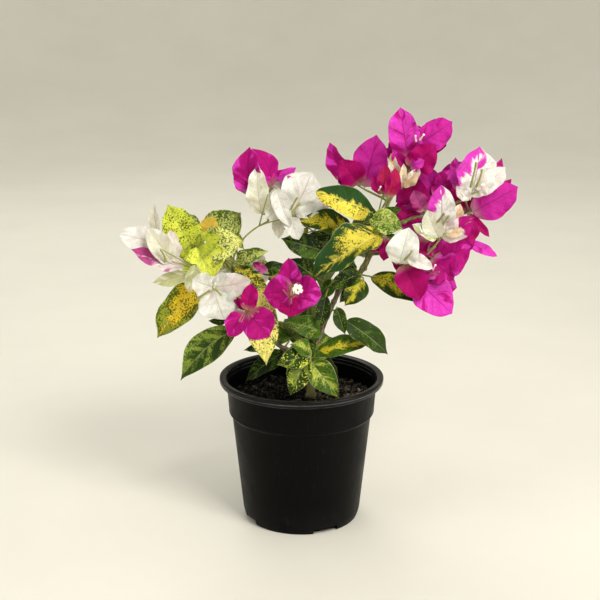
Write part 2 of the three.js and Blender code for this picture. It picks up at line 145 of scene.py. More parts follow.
# The blades that show: for each mass its look, then the foot and the point of the blade as shares of
# the mass's box, its width as a share of its length, the way its face looks (turned about Z and
# leaning back, in degrees), its fold in degrees and its arch as a share of its length, and for a few
# the rest of its set: roll in degrees, bow as a share of its length, and how blunt it is.
BLADES = {
    "left_upper_bracts": [
        ("cream", (0.7, 0.775, 0.25), (0.625, 0.825, 0.975), 0.4, -35, 5, 20, 0.06),
        ("white", (0.6, 0.475, 0.3), (0.05, 0.2, 0.5), 0.7, -10, 25, 14, 0.1),
        ("cream", (0.925, 0.275, -0.025), (0.55, 0.125, 0.625), 0.6, 10, 10, 22, 0.1),
        ("blush", (0.925, 0.425, -0.05), (0.9, 0.55, 0.525), 0.6, 30, 5, 18, 0.05),
        ("magenta", (0.925, 0.825, 0.0), (0.9, 0.9, 0.625), 0.2, 60, 5, 20, 0.05),
    ],
    "left_lower_bracts": [
        ("dipped", (0.85, 0.575, 0.55), (0.0, 0.15, 1.05), 0.4, -5, 35, 24, -0.14),
        ("celery", (0.9, 0.775, 0.325), (0.3, 0.675, 0.1), 0.4, -15, 0, 18, 0.05),
        ("celery", (1.025, 0.475, 0.575), (0.9, 0.15, -0.05), 0.55, -10, 5, 18, 0.05),
        ("cream", (0.9, 1.075, 0.575), (0.425, 1.3, 0.4), 0.5, -10, 40, 16, 0.05),
    ],
    "left_lime_leaves": [
        ("lime", (0.34, 0.1, 0.42), (0.0, 0.25, 1.05), 0.85, -15, 10, 14, 0.05),
        ("citrus", (0.41, -0.075, 0.48), (0.6, -0.275, 0.0), 1.3, -8, 20, 12, 0.08),
        ("speckle", (0.475, -0.02, 0.47), (1.03, -0.1, 0.55), 0.9, 5, 15, 16, 0.08),
        ("plainlime", (0.425, -0.15, 0.475), (0.74, -0.3, 0.66), 0.85, -5, 20, 18, 0.1),
        ("darkspeckle", (0.5, 0.45, 0.5), (0.98, 0.7, 0.88), 0.9, 20, 15, 16, 0.12),
        ("orange", (0.48, 0.15, 0.5), (0.62, 0.3, 0.86), 0.8, -10, 5, 12, 0.05, {"blunt": 0.5}),
        ("plainlime", (0.3, 0.05, 0.475), (0.05, -0.125, 0.275), 0.7, -20, 30, 20, 0.05),
    ],
    "left_hanging_leaf": [
        ("hanging", (0.85, 0.6, 0.95), (0.025, 0.35, 0.1), 0.55, -15, 15, 14, 0.06),
    ],
    "left_white_blossom": [
        ("white", (0.375, 0.425, 0.675), (0.0, 0.425, 0.85), 1.25, -20, 0, 16, 0.1),
        ("blush", (0.35, 0.425, 0.675), (1.025, 0.175, 0.85), 0.7, 10, 5, 14, 0.08),
        ("white", (0.375, 0.35, 0.625), (0.55, 0.1, 0.025), 1.3, -5, 15, 10, 0.08),
    ],
    "left_lower_leaf": [
        ("darkmarble", (0.97, 0.5, 0.88), (0.0, 0.225, 0.08), 0.46, -10, 20, 26, 0.05, {"bow": 0.07}),
        ("green", (0.8, 0.775, 0.975), (0.5, 0.675, 1.0), 0.5, 0, 10, 25, 0.05),
    ],
    "left_magenta_blossom": [
        ("deep", (0.475, 0.6, 0.525), (0.575, 0.6, 1.025), 0.7, 0, -5, 16, 0.05),
        ("magenta", (0.425, 0.5, 0.475), (0.075, 0.2, 0.05), 0.8, -15, 10, 16, 0.08),
        ("magenta", (0.5, 0.5, 0.475), (0.95, 0.2, 0.04), 1.1, 10, 10, 14, 0.08),
        ("deep", (0.45, 0.8, 0.5), (0.175, 0.9, 0.725), 0.5, 0, 0, 20, 0.05),
    ],
    "hanging_yellow_leaf": [
        ("yellow", (0.45, 0.975, 1.15), (0.675, 0.175, 0.05), 0.45, 0, -5, 16, 0.05),
    ],
    "mid_left_leaves": [
        ("darkspeckle", (-0.025, 0.525, 0.625), (0.625, 0.25, 0.975), 0.5, 0, 35, 18, 0.12),
        ("marble", (-0.05, 0.425, 0.55), (0.675, -0.2, -0.1), 0.45, 5, 25, 20, 0.06),
        ("dark", (0.475, 0.8, 0.35), (0.925, 0.975, 0.55), 0.6, 10, 20, 20, 0.08),
        ("mauve", (0.6, 0.425, 0.425), (0.3, 0.525, 0.65), 0.5, 0, 20, 20, 0.05),
    ],
    "high_magenta_bract": [
        ("magenta", (0.55, 0.6, 0.0), (0.43, 0.325, 1.0), 0.64, -15, 5, 22, 0.05, {"bow": -0.06}),
        ("magenta", (0.975, 0.6, 0.2), (0.5, 0.375, 0.97), 0.5, 25, 10, 14, 0.05, {"bow": 0.12}),
        ("bright", (0.975, 0.925, 0.375), (1.6, 0.775, 0.575), 0.45, 10, 20, 16, 0.05, {"bow": 0.1}),
        ("cream", (0.725, 0.325, -0.325), (0.625, 0.0, 0.65), 0.5, -15, 5, 14, 0.08),
    ],
    "high_white_blossom": [
        ("white", (0.525, 0.675, 0.3), (0.84, 0.925, 0.88), 1.1, 15, 5, 10, 0.08),
        ("blush", (0.425, 0.825, 0.4), (0.375, 1.0, 0.825), 0.95, 0, 10, 12, 0.1),
        ("cream", (0.45, 0.5, 0.475), (0.175, 0.25, 0.3), 1.0, -20, 15, 14, 0.1),
        ("white", (0.325, 0.325, 0.7), (0.525, 0.0, 0.2), 0.45, -10, 10, 20, 0.12),
        ("cream", (0.425, 0.5, 0.35), (0.35, 0.25, 0.025), 0.65, -30, 0, 18, 0.08),
        ("white", (0.5, 0.325, 0.3), (0.65, 0.075, 0.025), 0.8, 15, 5, 16, 0.1),
        ("white", (0.6, 0.575, 0.325), (1.025, 0.575, 0.425), 0.5, 10, 30, 14, 0.05),
    ],
    "mid_magenta_blossom": [
        ("magenta", (0.475, 0.6, 0.5), (0.42, 0.6, 1.0), 0.75, -5, 5, 16, 0.05),
        ("magenta", (0.475, 0.5, 0.45), (-0.025, 0.3, 0.425), 1.2, -15, 5, 12, 0.08),
        ("magenta", (0.525, 0.5, 0.45), (1.0, 0.3, 0.4), 1.25, 15, 5, 14, 0.08),
        ("deep", (0.475, 0.5, 0.4), (0.45, 0.2, 0.025), 1.45, 0, -5, 12, 0.08),
    ],
    "centre_upper_leaves": [
        ("goldheart", (1.075, 0.55, 0.65), (0.2, 0.175, 0.85), 0.5, 0, 30, 20, 0.12),
        ("dark", (0.625, 0.65, 0.2), (-0.05, 0.35, 0.475), 0.6, -5, 15, 14, 0.05),
        ("dark", (0.4, 0.35, -0.2), (0.1, 0.55, 0.05), 0.8, -10, 10, 14, 0.05),
        ("dark", (0.95, 0.75, 0.55), (0.325, 0.35, 0.525), 0.35, 0, 0, 24, 0.05),
    ],
    "broad_yellow_leaf": [
        ("sector", (1.025, 1.075, 0.775), (0.075, 0.075, 0.0), 0.6, 0, 25, 30, 0.08, {"roll": 24}),
    ],
    "long_upper_leaf": [
        ("halves", (1.02, 1.125, -0.16), (0.02, 0.5, 0.68), 0.44, 0, 20, 10, 0.16, {"blunt": 0.75}),
        ("copper", (1.05, 1.4, -0.25), (0.475, 0.975, 0.25), 0.45, 0, 40, 20, 0.08),
    ],
    "crown_heart_leaves": [
        ("grey", (0.175, 0.65, 0.675), (1.025, 0.25, 0.475), 0.8, 0, 30, 12, 0.1),
        ("marblegreen", (0.4, 0.85, 0.825), (-0.05, 0.55, 0.575), 0.6, 0, 20, 20, 0.06),
        ("olive", (0.525, 0.95, 0.775), (1.0, 0.85, 0.975), 0.65, 0, 30, 20, 0.08),
        ("deep", (0.55, 1.05, 0.075), (0.175, 1.05, -0.35), 0.75, -10, 5, 18, 0.05),
        ("deep", (0.6, 1.05, 0.075), (0.55, 0.95, -0.65), 0.6, 10, 5, 18, 0.05),
        ("green", (0.6, 1.25, 0.075), (0.95, 1.35, 0.0), 0.65, 10, 5, 20, 0.05),
    ],
    "leader_leaves": [
        ("dark", (0.8, 0.625, 0.925), (-0.025, 0.275, 0.575), 0.55, 0, 20, 20, 0.1),
        ("dark", (0.7, 0.95, 1.0), (0.225, 0.85, 1.225), 0.7, 0, 10, 20, 0.08),
        ("dark", (0.625, 0.625, 0.625), (0.275, 0.4, 0.1), 0.6, 0, 5, 20, 0.08),
        ("goldheart", (0.875, 0.5, 0.775), (0.4, 0.175, 0.05), 0.75, 5, 10, 16, 0.06),
    ],
    "inner_side_leaf": [
        ("dark", (0.925, 0.5, 0.975), (0.6, 0.325, -0.025), 0.45, 0, 0, 16, 0.06),
        ("olive", (1.225, 1.325, 1.375), (0.75, 1.175, 0.775), 0.65, 0, 0, 16, 0.06),
    ],
    "inner_olive_leaves": [
        ("olive", (1.025, 0.6, 0.4), (0.275, 0.275, 0.825), 0.55, 0, 25, 20, 0.1),
        ("dark", (0.725, 0.375, 0.2), (0.8, 0.05, -0.4), 0.9, 10, 0, 14, 0.05),
        ("olive", (0.35, 0.725, 0.025), (-0.05, 0.95, 0.75), 0.55, 0, 10, 16, 0.05),
        ("olive", (0.05, 0.5, 0.0), (0.425, 0.275, 0.225), 0.45, 0, 20, 20, 0.05),
        ("dark", (0.025, 1.05, -0.25), (-0.525, 0.95, -0.425), 0.35, 0, 20, 20, 0.08),
    ],
    "foot_left_leaves": [
        ("limeheart", (1.0, 0.775, 0.775), (0.4, 0.325, 0.925), 0.75, -5, 30, 16, 0.1),
        ("marblegreen", (0.95, 0.65, 0.675), (0.0, 0.1, 0.6), 0.7, -10, 30, 16, 0.12),
        ("marblegreen", (0.85, 0.45, 0.625), (0.4, 0.0, 0.075), 0.65, -10, 5, 18, 0.06),
    ],
    "foot_right_leaf": [
        ("marblelime", (0.0, 0.625, 0.775), (0.9, -0.05, 0.175), 0.6, 10, 15, 14, 0.06),
        ("olive", (0.025, 0.975, 0.8), (0.55, 0.75, 0.85), 0.85, 5, 30, 18, 0.1),
    ],
    "leaf_over_pot": [
        ("shade", (0.975, 0.325, 0.95), (-0.025, -0.2, 0.175), 0.4, -10, 35, 14, 0.08),
    ],
    "low_right_leaf": [
        ("smallheart", (0.0, 0.225, 0.05), (1.025, 0.65, 0.4), 0.4, 5, 35, 18, 0.16),
    ],
    "far_right_leaf": [
        ("green", (0.0, 0.35, 0.875), (1.05, 0.65, 0.0), 0.46, 10, 30, 16, 0.1),
        ("green", (-0.225, 0.2, 1.225), (-0.025, 0.05, 0.575), 0.5, 0, 5, 16, 0.08),
    ],
    "right_yellow_leaf": [
        ("goldheart", (0.0, 0.675, 0.6), (1.15, 0.3, -0.1), 0.36, 10, 30, 16, 0.14),
    ],
    "crown_left_blossom": [
        ("magenta", (0.3, 0.6, 0.1), (0.0, 0.525, 0.875), 0.5, -20, 0, 16, 0.05),
        ("vivid", (0.7, 0.525, -0.025), (0.925, 0.6, 1.025), 0.7, 5, 5, 8, 0.05),
        ("deep", (0.6, 0.25, 0.075), (0.225, 0.025, 0.6), 0.85, -15, 10, 12, 0.08),
        ("deep", (0.4, 0.375, 0.1), (0.175, 0.3, 0.225), 1.2, -25, 0, 12, 0.08),
    ],
    "crown_bud_bracts": [
        ("red", (0.475, 0.325, 0.1), (0.525, 0.325, 1.05), 0.5, -10, 0, 20, 0.1),
        ("red", (0.65, 0.5, -0.025), (0.925, 0.5, 0.9), 0.6, 20, 0, 20, 0.1),
        ("deep", (0.425, 0.325, 0.1), (0.0, 0.325, 0.675), 0.6, -30, 0, 20, 0.1),
    ],
    "crown_top_blossom": [
        ("bright", (0.325, 0.4, 0.125), (0.175, 0.475, 1.0), 0.65, -10, 5, 12, 0.06),
        ("vivid", (0.425, 0.475, 0.35), (1.025, 0.6, 0.75), 0.7, 15, 10, 14, 0.08),
        ("deep", (0.35, 0.2, 0.0), (0.725, 0.0, 0.4), 0.9, 10, 10, 12, 0.1),
        ("magenta", (0.325, 0.275, -0.025), (0.05, 0.15, 0.3), 0.6, -20, 5, 18, 0.08),
        ("bright", (0.35, 0.15, 0.0), (0.55, 0.0, 0.15), 0.85, 10, 30, 18, 0.08),
    ],
    "crown_peach_bracts": [
        ("peach", (0.375, 0.325, 0.0), (-0.05, 0.5, 1.075), 0.4, -20, 0, 20, 0.08),
        ("peach", (0.375, 0.325, 0.025), (1.0, 0.175, 0.625), 0.55, 20, 10, 20, 0.08),
        ("peach", (0.375, 0.175, 0.025), (0.4, 0.0, 0.775), 0.4, 0, 0, 26, 0.08),
    ],
    "crown_middle_blossom": [
        ("deep", (0.375, 0.375, -0.025), (0.3, 0.3, 0.95), 0.65, -10, 5, 12, 0.06),
        ("mauve", (0.5, -0.1, 0.275), (0.3, -0.175, 0.675), 0.8, -10, 5, 14, 0.06),
        ("vivid", (0.75, 0.375, 0.5), (0.5, 0.45, 1.05), 0.8, -5, 5, 14, 0.05),
        ("magenta", (0.75, 0.375, 0.45), (0.975, 0.525, 1.0), 0.9, 15, 5, 12, 0.05),
        ("deep", (0.3, 0.125, 0.325), (0.15, -0.025, -0.05), 1.05, -10, 0, 14, 0.06),
    ],
    "crown_white_blossom": [
        ("bicolour", (0.35, 0.625, 0.05), (0.5, 0.775, 1.025), 0.8, 10, 5, 10, 0.08),
        ("blush", (0.4, 0.625, 0.15), (0.975, 0.775, 0.625), 0.55, 25, 15, 18, 0.08),
        ("bright", (0.175, 0.85, 0.175), (0.075, 0.925, 0.8), 0.5, -25, 5, 16, 0.08),
        ("blush", (0.325, 0.475, 0.025), (0.075, 0.4, 0.3), 0.65, -20, 10, 16, 0.08),
        ("blush", (0.475, 0.55, 0.175), (0.625, 0.475, 0.3), 1.35, 10, 10, 16, 0.08),
    ],
    "crown_right_blossom": [
        ("vivid", (0.125, 0.375, 0.325), (0.975, 0.6, 0.65), 0.65, 15, 15, 14, 0.06),
        ("magenta", (0.425, 0.6, 0.575), (0.675, 0.725, 1.025), 0.35, 10, 5, 16, 0.05),
        ("deep", (0.175, 0.6, 0.4), (0.7, 0.85, 0.8), 0.6, 5, 5, 12, 0.05),
        ("deep", (0.05, 0.425, 0.3), (0.475, 0.475, -0.025), 0.3, 10, 5, 20, 0.1),
        ("deep", (-0.1, 0.55, 0.3), (-0.05, 0.55, 0.8), 0.65, -5, 0, 14, 0.05),
    ],
    "crown_bicolour_blossom": [
        ("bicolour", (0.475, 0.575, 0.225), (0.45, 0.575, 1.05), 0.7, 0, 5, 10, 0.08),
        ("cream", (0.425, 0.425, 0.0), (0.225, 0.325, 0.575), 0.7, -15, 5, 14, 0.08),
        ("tipped", (0.475, 0.425, 0.0), (0.975, 0.325, 0.425), 0.6, 15, 15, 14, 0.08),
        ("celery", (0.4, 0.5, -0.025), (0.0, 0.425, 0.275), 0.5, -10, 25, 18, 0.08),
        ("peach", (0.65, 0.675, 0.3), (0.775, 0.75, 0.65), 0.7, 20, 5, 18, 0.08),
        ("peach", (0.525, 0.325, 0.1), (0.85, 0.25, 0.15), 0.45, 5, 10, 24, 0.08),
    ],
    "crown_outer_bracts": [
        ("deep", (0.075, 0.4, 0.325), (0.6, 0.5, 0.9), 0.8, 10, 10, 12, 0.06),
        ("bright", (0.375, 0.5, 0.425), (1.025, 0.725, 0.05), 0.3, 10, 15, 20, 0.12),
        ("deep", (0.125, 0.3, 0.5), (0.55, 0.4, 0.35), 0.85, 10, 5, 16, 0.06),
    ],
    "crown_pale_bract": [
        ("white", (0.3, 0.5, 0.125), (0.5, 0.5, 1.025), 0.9, -5, 5, 14, 0.1),
        ("blush", (0.475, 0.375, 0.3), (1.05, 0.125, 0.05), 0.55, 5, 20, 20, 0.1),
        ("cream", (0.375, 0.75, 0.175), (0.125, 0.75, 0.425), 1.0, -20, 5, 18, 0.06),
    ],
    "crown_low_blossom": [
        ("magenta", (0.3, 0.6, 0.425), (0.99, 0.4, 0.75), 1.0, 5, 10, 10, 0.08),
        ("magenta", (0.325, 0.525, 0.475), (0.7, 0.275, 0.025), 1.15, 5, 5, 12, 0.08),
        ("deep", (0.375, 0.6, 0.6), (0.0, 0.525, 0.65), 0.6, -10, 20, 20, 0.06),
        ("magenta", (0.275, 0.75, 0.3), (0.5, 0.85, 0.825), 0.95, -5, 10, 14, 0.06),
    ],
    "crown_lowest_blossom": [
        ("bright", (0.4, 0.5, 0.6), (0.9, 0.15, 0.075), 0.85, 5, 10, 10, 0.08),
        ("deep", (0.175, 0.325, 0.95), (0.425, 0.05, 0.35), 0.8, -5, 10, 12, 0.08),
        ("deep", (0.375, 0.575, 0.725), (0.0, 0.5, 0.975), 0.55, -10, 20, 18, 0.08),
        ("mauve", (0.4, 0.4, 0.825), (0.725, 0.325, 0.7), 0.45, 5, 10, 26, 0.05),
        ("bright", (0.675, 0.675, 0.575), (0.975, 0.5, 0.5), 1.05, 10, 10, 16, 0.05),
    ],
}

# Small flowers that stand in the bracts: the kind, then foot and tip as shares of the mass's box.
FLOWERS = {
    "left_white_blossom": [
        ("olive", (0.075, 0.175, 0.45), (0.325, -0.175, 0.7)),
        ("olive", (0.35, 0.275, 0.7), (0.525, -0.25, 0.6)),
        ("bud", (0.375, 0.275, 0.65), (0.425, -0.075, 0.85)),
    ],
    "left_magenta_blossom": [
        ("rust", (0.45, 0.4, 0.525), (0.4, 0.0, 0.725)),
        ("rust", (0.475, 0.4, 0.5), (0.6, -0.1, 0.475)),
        ("rust", (0.45, 0.4, 0.5), (0.325, -0.1, 0.375)),
        ("rust", (0.475, 0.4, 0.525), (0.725, 0.0, 0.55)),
    ],
    "high_white_blossom": [
        ("olive", (0.5, 0.0, 0.4), (0.625, -0.25, 0.625)),
        ("olive", (0.525, 0.0, 0.35), (0.675, -0.35, 0.55)),
    ],
    "mid_magenta_blossom": [
        ("star", (0.45, 0.3, 0.35), (0.575, -0.4, 0.575)),
        ("rust", (0.45, 0.3, 0.35), (0.4, -0.1, 0.675)),
        ("rust", (0.45, 0.3, 0.35), (0.325, -0.2, 0.55)),
        ("rust", (0.425, 0.3, 0.35), (0.475, 0.0, 0.625)),
    ],
    "crown_top_blossom": [
        ("bud", (0.475, 0.15, 0.475), (0.525, -0.125, 0.6)),
        ("bud", (0.425, 0.15, 0.45), (0.4, -0.05, 0.575)),
    ],
    "crown_white_blossom": [
        ("olive", (0.325, 0.4, 0.275), (0.375, -0.05, 0.825)),
        ("olive", (0.425, 0.4, 0.275), (0.475, 0.025, 0.675)),
        ("bud", (0.2, 0.25, 0.125), (0.1, -0.05, 0.275)),
    ],
    "crown_bicolour_blossom": [
        ("olive", (0.375, 0.325, 0.3), (0.475, -0.1, 0.575)),
        ("olive", (0.45, 0.325, 0.225), (0.55, -0.175, 0.525)),
        ("bud", (0.175, 0.325, 0.1), (0.1, 0.075, 0.275)),
    ],
    "crown_pale_bract": [
        ("olive", (0.4, 0.25, 0.25), (0.55, -0.25, 0.55)),
    ],
    "crown_low_blossom": [
        ("bud", (0.325, 0.175, 0.275), (0.35, -0.225, 0.45)),
        ("rust", (0.25, 0.275, 0.175), (0.425, -0.15, 0.275)),
    ],
    "crown_left_blossom": [
        ("pale", (0.925, -0.05, -0.05), (0.975, -0.35, 0.1)),
    ],
    "left_upper_bracts": [
        ("olive", (0.85, 0.075, 0.0), (0.775, -0.15, 0.275)),
    ],
    "left_lime_leaves": [
        ("bud", (0.5, -0.075, 0.475), (0.525, -0.275, 0.575)),
    ],
}

# Stalks that show in front of what they hold: from and to, as shares of the mass's box.
OPEN_STALKS = {
    "high_white_blossom": [((0.05, 0.3, 0.18), (0.21, -0.12, 0.66)),
                           ((0.05, 0.3, 0.18), (0.39, 0.0, 0.31))],
    "left_upper_bracts": [((1.23, 0.3, -0.17), (0.76, -0.1, 0.27)),
                          ((1.23, 0.3, -0.17), (0.96, -0.1, 0.03))],
    "right_yellow_leaf": [((-0.19, 0.6, 0.54), (0.18, 0.6, 0.56))],
    "crown_bud_bracts": [((0.12, 0.6, -0.57), (0.42, 0.2, 0.1)), ((0.12, 0.4, -0.57), (0.7, 0.1, 0.05))],
    "crown_peach_bracts": [((-0.48, 0.4, -0.91), (0.28, 0.0, 0.25)),
                           ((-0.48, 0.4, -0.91), (0.0, 0.0, -0.08))],
}

# Far side of the bush, and the space behind what shows: how many leaves or heads of three bracts the
# branching rule sets on each mass, the looks it deals out, and how far behind the mass's middle in mm.
SPRAYS = {
    "back_crown_blossoms": ("bract", 9, ("magenta", "bright", "deep", "vivid"), 0),
    "back_top_blossom": ("bract", 4, ("bright", "magenta", "deep"), 0),
    "back_left_blossom": ("bract", 3, ("white", "cream", "blush"), 0),
    "back_crown_leaves": ("leaf", 9, ("goldheart", "dark", "marblegreen", "green"), 0),
    "back_left_leaves": ("leaf", 10, ("lime", "speckle", "goldheart", "darkspeckle"), 0),
    "back_middle_leaves": ("leaf", 9, ("marblegreen", "goldheart", "dark", "olive"), 0),
    "back_low_leaves": ("leaf", 8, ("marblegreen", "green", "olive", "limeheart"), 0),
    "crown_top_blossom": ("bract", 2, ("bright", "magenta", "deep"), 24),
    "crown_middle_blossom": ("bract", 3, ("magenta", "deep", "bright"), 26),
    "crown_right_blossom": ("bract", 2, ("magenta", "vivid", "deep"), 26),
    "crown_low_blossom": ("bract", 2, ("deep", "magenta", "vivid"), 26),
    "high_white_blossom": ("bract", 2, ("white", "blush", "cream"), 24),
    "left_lime_leaves": ("leaf", 4, ("lime", "darkspeckle", "speckle"), 32),
    "centre_upper_leaves": ("leaf", 5, ("dark", "goldheart", "green"), 20),
    "inner_olive_leaves": ("leaf", 4, ("olive", "green", "dark"), 18),
}

# Limbs that carry a leaf at each node, the mass that these belong to and the looks dealt out.
LEAFY_BOUGHS = {
    "back_bough": ("back_crown_leaves", ("dark", "green", "goldheart")),
    "back_left_bough": ("back_left_leaves", ("speckle", "olive", "lime")),
    "back_low_bough": ("back_low_leaves", ("green", "marblegreen", "olive")),
    "leader_top": ("leader_leaves", ("dark", "olive", "goldheart")),
}


# ---------------------------------------------------------------- sizes and colours a user may change

def linear(code):
    """Scene-linear red, green and blue of a six-figure screen colour."""
    parts = [int(code[i:i + 2], 16) / 255 for i in (0, 2, 4)]
    return tuple(c / 12.92 if c <= 0.04045 else ((c + 0.055) / 1.055) ** 2.4 for c in parts)


def solid(code):
    """The same colour with a full alpha, as a shader socket takes it."""
    return (*linear(code), 1)


def colour_prop(name, description, code):
    return FloatVectorProperty(name=name, description=description, default=linear(code), size=3,
                               min=0.0, max=1.0, subtype="COLOR")


def length_prop(name, description, value):
    return FloatProperty(name=name, description=description, default=value, min=0.0,
                         unit="LENGTH", precision=5)


def share_prop(name, description, value, most=1.0):
    return FloatProperty(name=name, description=description, default=value, min=0.0, max=most,
                         subtype="FACTOR")


def count_prop(name, description, value):
    return IntProperty(name=name, description=description, default=value, min=0)


class PotSettings(bpy.types.PropertyGroup):
    lip_depth: length_prop("Lip depth", "Height of the rolled lip", 6.5 * MM)
    lip_width: length_prop("Lip width", "From the lip's edge to the mouth", 5.3 * MM)
    wall: length_prop("Wall", "Thickness of the wall", 1.3 * MM)
    floor: length_prop("Floor", "Thickness of the floor", 2 * MM)
    notch_width: length_prop("Notch width", "Width of a drainage notch", 21 * MM)
    notch_height: length_prop("Notch height", "Height of a drainage notch", 4.5 * MM)
    plastic: colour_prop("Plastic", "Colour of the pot", "050505")
    # the scuff colour marks scratches, specks and dust low on the pot, and a painted sheen over the whole lip
    scuff_and_sheen: colour_prop("Scuffs and sheen", "Colour of rubbed and dusty places", "303030")
    # the ridge colour and its share paint two thin lighter lines along the lip: a painted highlight
    ridges: colour_prop("Rubbed ridges", "Colour of the ridges of the lip where they are rubbed", "64666a")
    highlighted: share_prop("Highlighted", "How far the ridges of the lip are rubbed", 0.8)


class MixSettings(bpy.types.PropertyGroup):
    lumpiness: length_prop("Lumpiness", "How far the surface heaves", 1.1 * MM)
    chips: count_prop("Bark chips", "Number of bark chips", 1500)
    fibres: count_prop("Fibres", "Number of coir fibres", 150)
    grains: count_prop("Perlite", "Number of white grains", 9)
    near_grain: share_prop("Near grain", "Where the nearest grain lies on the way to the wall", 0.22)
    peat: colour_prop("Peat", "Colour of the fine mix", "060503")
    bark: colour_prop("Bark", "Colour of the lighter chips", "4a4334")
    perlite: colour_prop("Perlite", "Colour of the white grains", "e8e6e0")


class StemSettings(bpy.types.PropertyGroup):
    relief: share_prop("Bark relief", "Depth of the bark as a share of the radius", 0.07, 0.4)
    node_gap: length_prop("Node gap", "Distance between leaf scars", 13 * MM)
    petiole: length_prop("Petiole", "Radius of a leaf stalk", 0.62 * MM)
    old_bark: colour_prop("Old bark", "Colour of the old stems", "4a3428")
    grey_bark: colour_prop("Grey bark", "Colour of the foot of the stem", "7d7458")
    green_bark: colour_prop("Green bark", "Colour of the young stems", "8a8a45")
    stalk: colour_prop("Stalks", "Colour of the leaf and flower stalks", "93a052")


class LeafSettings(bpy.types.PropertyGroup):
    thickness: length_prop("Thickness", "Thickness of a leaf at its middle", 0.45 * MM)
    ripple: share_prop("Ripple", "Waviness of the edges as a share of the width", 0.18, 0.5)
    lime: colour_prop("Lime", "Yellow-green ground", "e2ec52")
    lemon: colour_prop("Lemon", "Yellow ground", "dccb46")
    butter: colour_prop("Butter", "Pale yellow ground", "f4ea80")
    pale: colour_prop("Pale", "Pale yellow-green ground", "ecf088")
    gold: colour_prop("Gold", "Warm yellow heart", "e2c228")
    brass: colour_prop("Brass", "Greenish yellow heart", "d0c42e")
    moss: colour_prop("Moss", "Mid green splash", "829438")
    olive: colour_prop("Olive", "Olive green", "939a2c")
    green: colour_prop("Green", "Leaf green", "466414")
    dark: colour_prop("Dark", "Dark green splash", "283f08")
    deep: colour_prop("Deep", "Deepest green", "182a06")
    teal: colour_prop("Teal", "Blue-green splash", "22471b")
    spring: colour_prop("Spring", "Soft yellow-green heart", "a8b446")
    sprout: colour_prop("Sprout", "Plain young leaf", "b9c238")
    sage: colour_prop("Sage", "Pale grey-green", "bcc468")
    citrus: colour_prop("Citrus", "Yellow-green young leaf", "f0fb60")
    apricot: colour_prop("Apricot", "Orange young leaf", "d2b040")
    copper: colour_prop("Copper", "Reddish young leaf", "a98d44")


class BractSettings(bpy.types.PropertyGroup):
    thickness: length_prop("Thickness", "Thickness of a bract", 0.28 * MM)
    crinkle: share_prop("Crinkle", "Waviness of the edges as a share of the width", 0.22, 0.5)
    magenta: colour_prop("Magenta", "Main colour", "aa0a72")
    bright: colour_prop("Bright", "Lit magenta", "d43ab4")
    vivid: colour_prop("Vivid", "Fresh magenta", "ba2292")
    # crimson is the ground of the deep look, a painted shade of the magenta; in the mauve and red looks it is
    # their darker splash
    crimson: colour_prop("Crimson", "Deep magenta", "a0005c")
    wine: colour_prop("Wine", "Veins of the magenta bracts", "6c0440")
    mauve: colour_prop("Mauve", "Faded magenta", "b04a88")
    rose: colour_prop("Rose", "Reddish young bract", "a81a4a")
    white: colour_prop("White", "Main colour of the white bracts", "f0ede8")
    blush: colour_prop("Blush", "Pinkish grey white", "e3d5d2")
    cream: colour_prop("Cream", "Greenish white", "e2dec9")
    celery: colour_prop("Celery", "Greenish young bract", "b9bf88")
    peach: colour_prop("Peach", "Pale peach", "dcc09a")
    stone: colour_prop("Stone", "Veins of the white bracts", "a9a684")


class FlowerSettings(bpy.types.PropertyGroup):
    tube: length_prop("Tube", "Radius of a flower tube", 0.95 * MM)
    star: length_prop("Star", "Radius of an open flower", 4.4 * MM)
    olive: colour_prop("Olive tube", "Colour of the green tubes", "a3a266")
    rust: colour_prop("Rust tube", "Colour of the reddish tubes", "a8605c")
    petal: colour_prop("Petal", "Colour of the open flower", "f8f4e4")
    throat: colour_prop("Throat", "Colour of the open flower's middle", "e4d96a")


class StageSettings(bpy.types.PropertyGroup):
    floor: colour_prop("Floor", "Colour of the floor and backdrop", "eeebdf")
    lens: FloatProperty(name="Lens", description="Focal length of the camera", default=76.8, min=1.0,
                        subtype="DISTANCE_CAMERA")
    distance: length_prop("Camera distance", "From the camera to the middle of the bush", 1.0)
    elevation: FloatProperty(name="Elevation", description="How far the camera looks down",
                             default=math.radians(15.12), subtype="ANGLE")
    aim: FloatVectorProperty(name="Aim", description="The point that the camera looks at", size=3,
                             default=(-1.2 * MM, 0.0, 178.5 * MM), subtype="TRANSLATION",
                             unit="LENGTH", precision=5)


class BushSettings(bpy.types.PropertyGroup):
    seed: count_prop("Seed", "Start of every random draw", 11)
    pot: PointerProperty(name="Pot", description="The nursery pot", type=PotSettings)
    mix: PointerProperty(name="Potting mix", description="The potting mix", type=MixSettings)
    stem: PointerProperty(name="Stems", description="Stems and stalks", type=StemSettings)
    leaf: PointerProperty(name="Leaves", description="Leaf blades", type=LeafSettings)
    bract: PointerProperty(name="Bracts", description="Papery bracts", type=BractSettings)
    flower: PointerProperty(name="Flowers", description="The small true flowers", type=FlowerSettings)
    stage: PointerProperty(name="Stage", description="Floor, lights and camera", type=StageSettings)


def settings():
    return bpy.context.scene.bougainvillea


def draws(*numbers):
    """Random draws of their own for one piece or mass, from the seed and its numbers."""
    return np.random.default_rng([settings().seed, *numbers])


# ---------------------------------------------------------------- shapes as whole arrays

# Columns of points round the pot, the limbs and the stalks.
POT_COLUMNS, BARK_COLUMNS, STALK_COLUMNS = 160, 24, 8


class Shape:
    """Points, four-cornered faces, maps (a place per face corner) and marks (values per point)."""

    def __init__(self, points, faces, maps=None, marks=None, under=None):
        self.points = np.asarray(points, float)
        self.faces = np.asarray(faces, int)
        self.maps = maps or {}
        self.marks = marks or {}
        self.under = np.zeros(len(self.faces)) if under is None else under


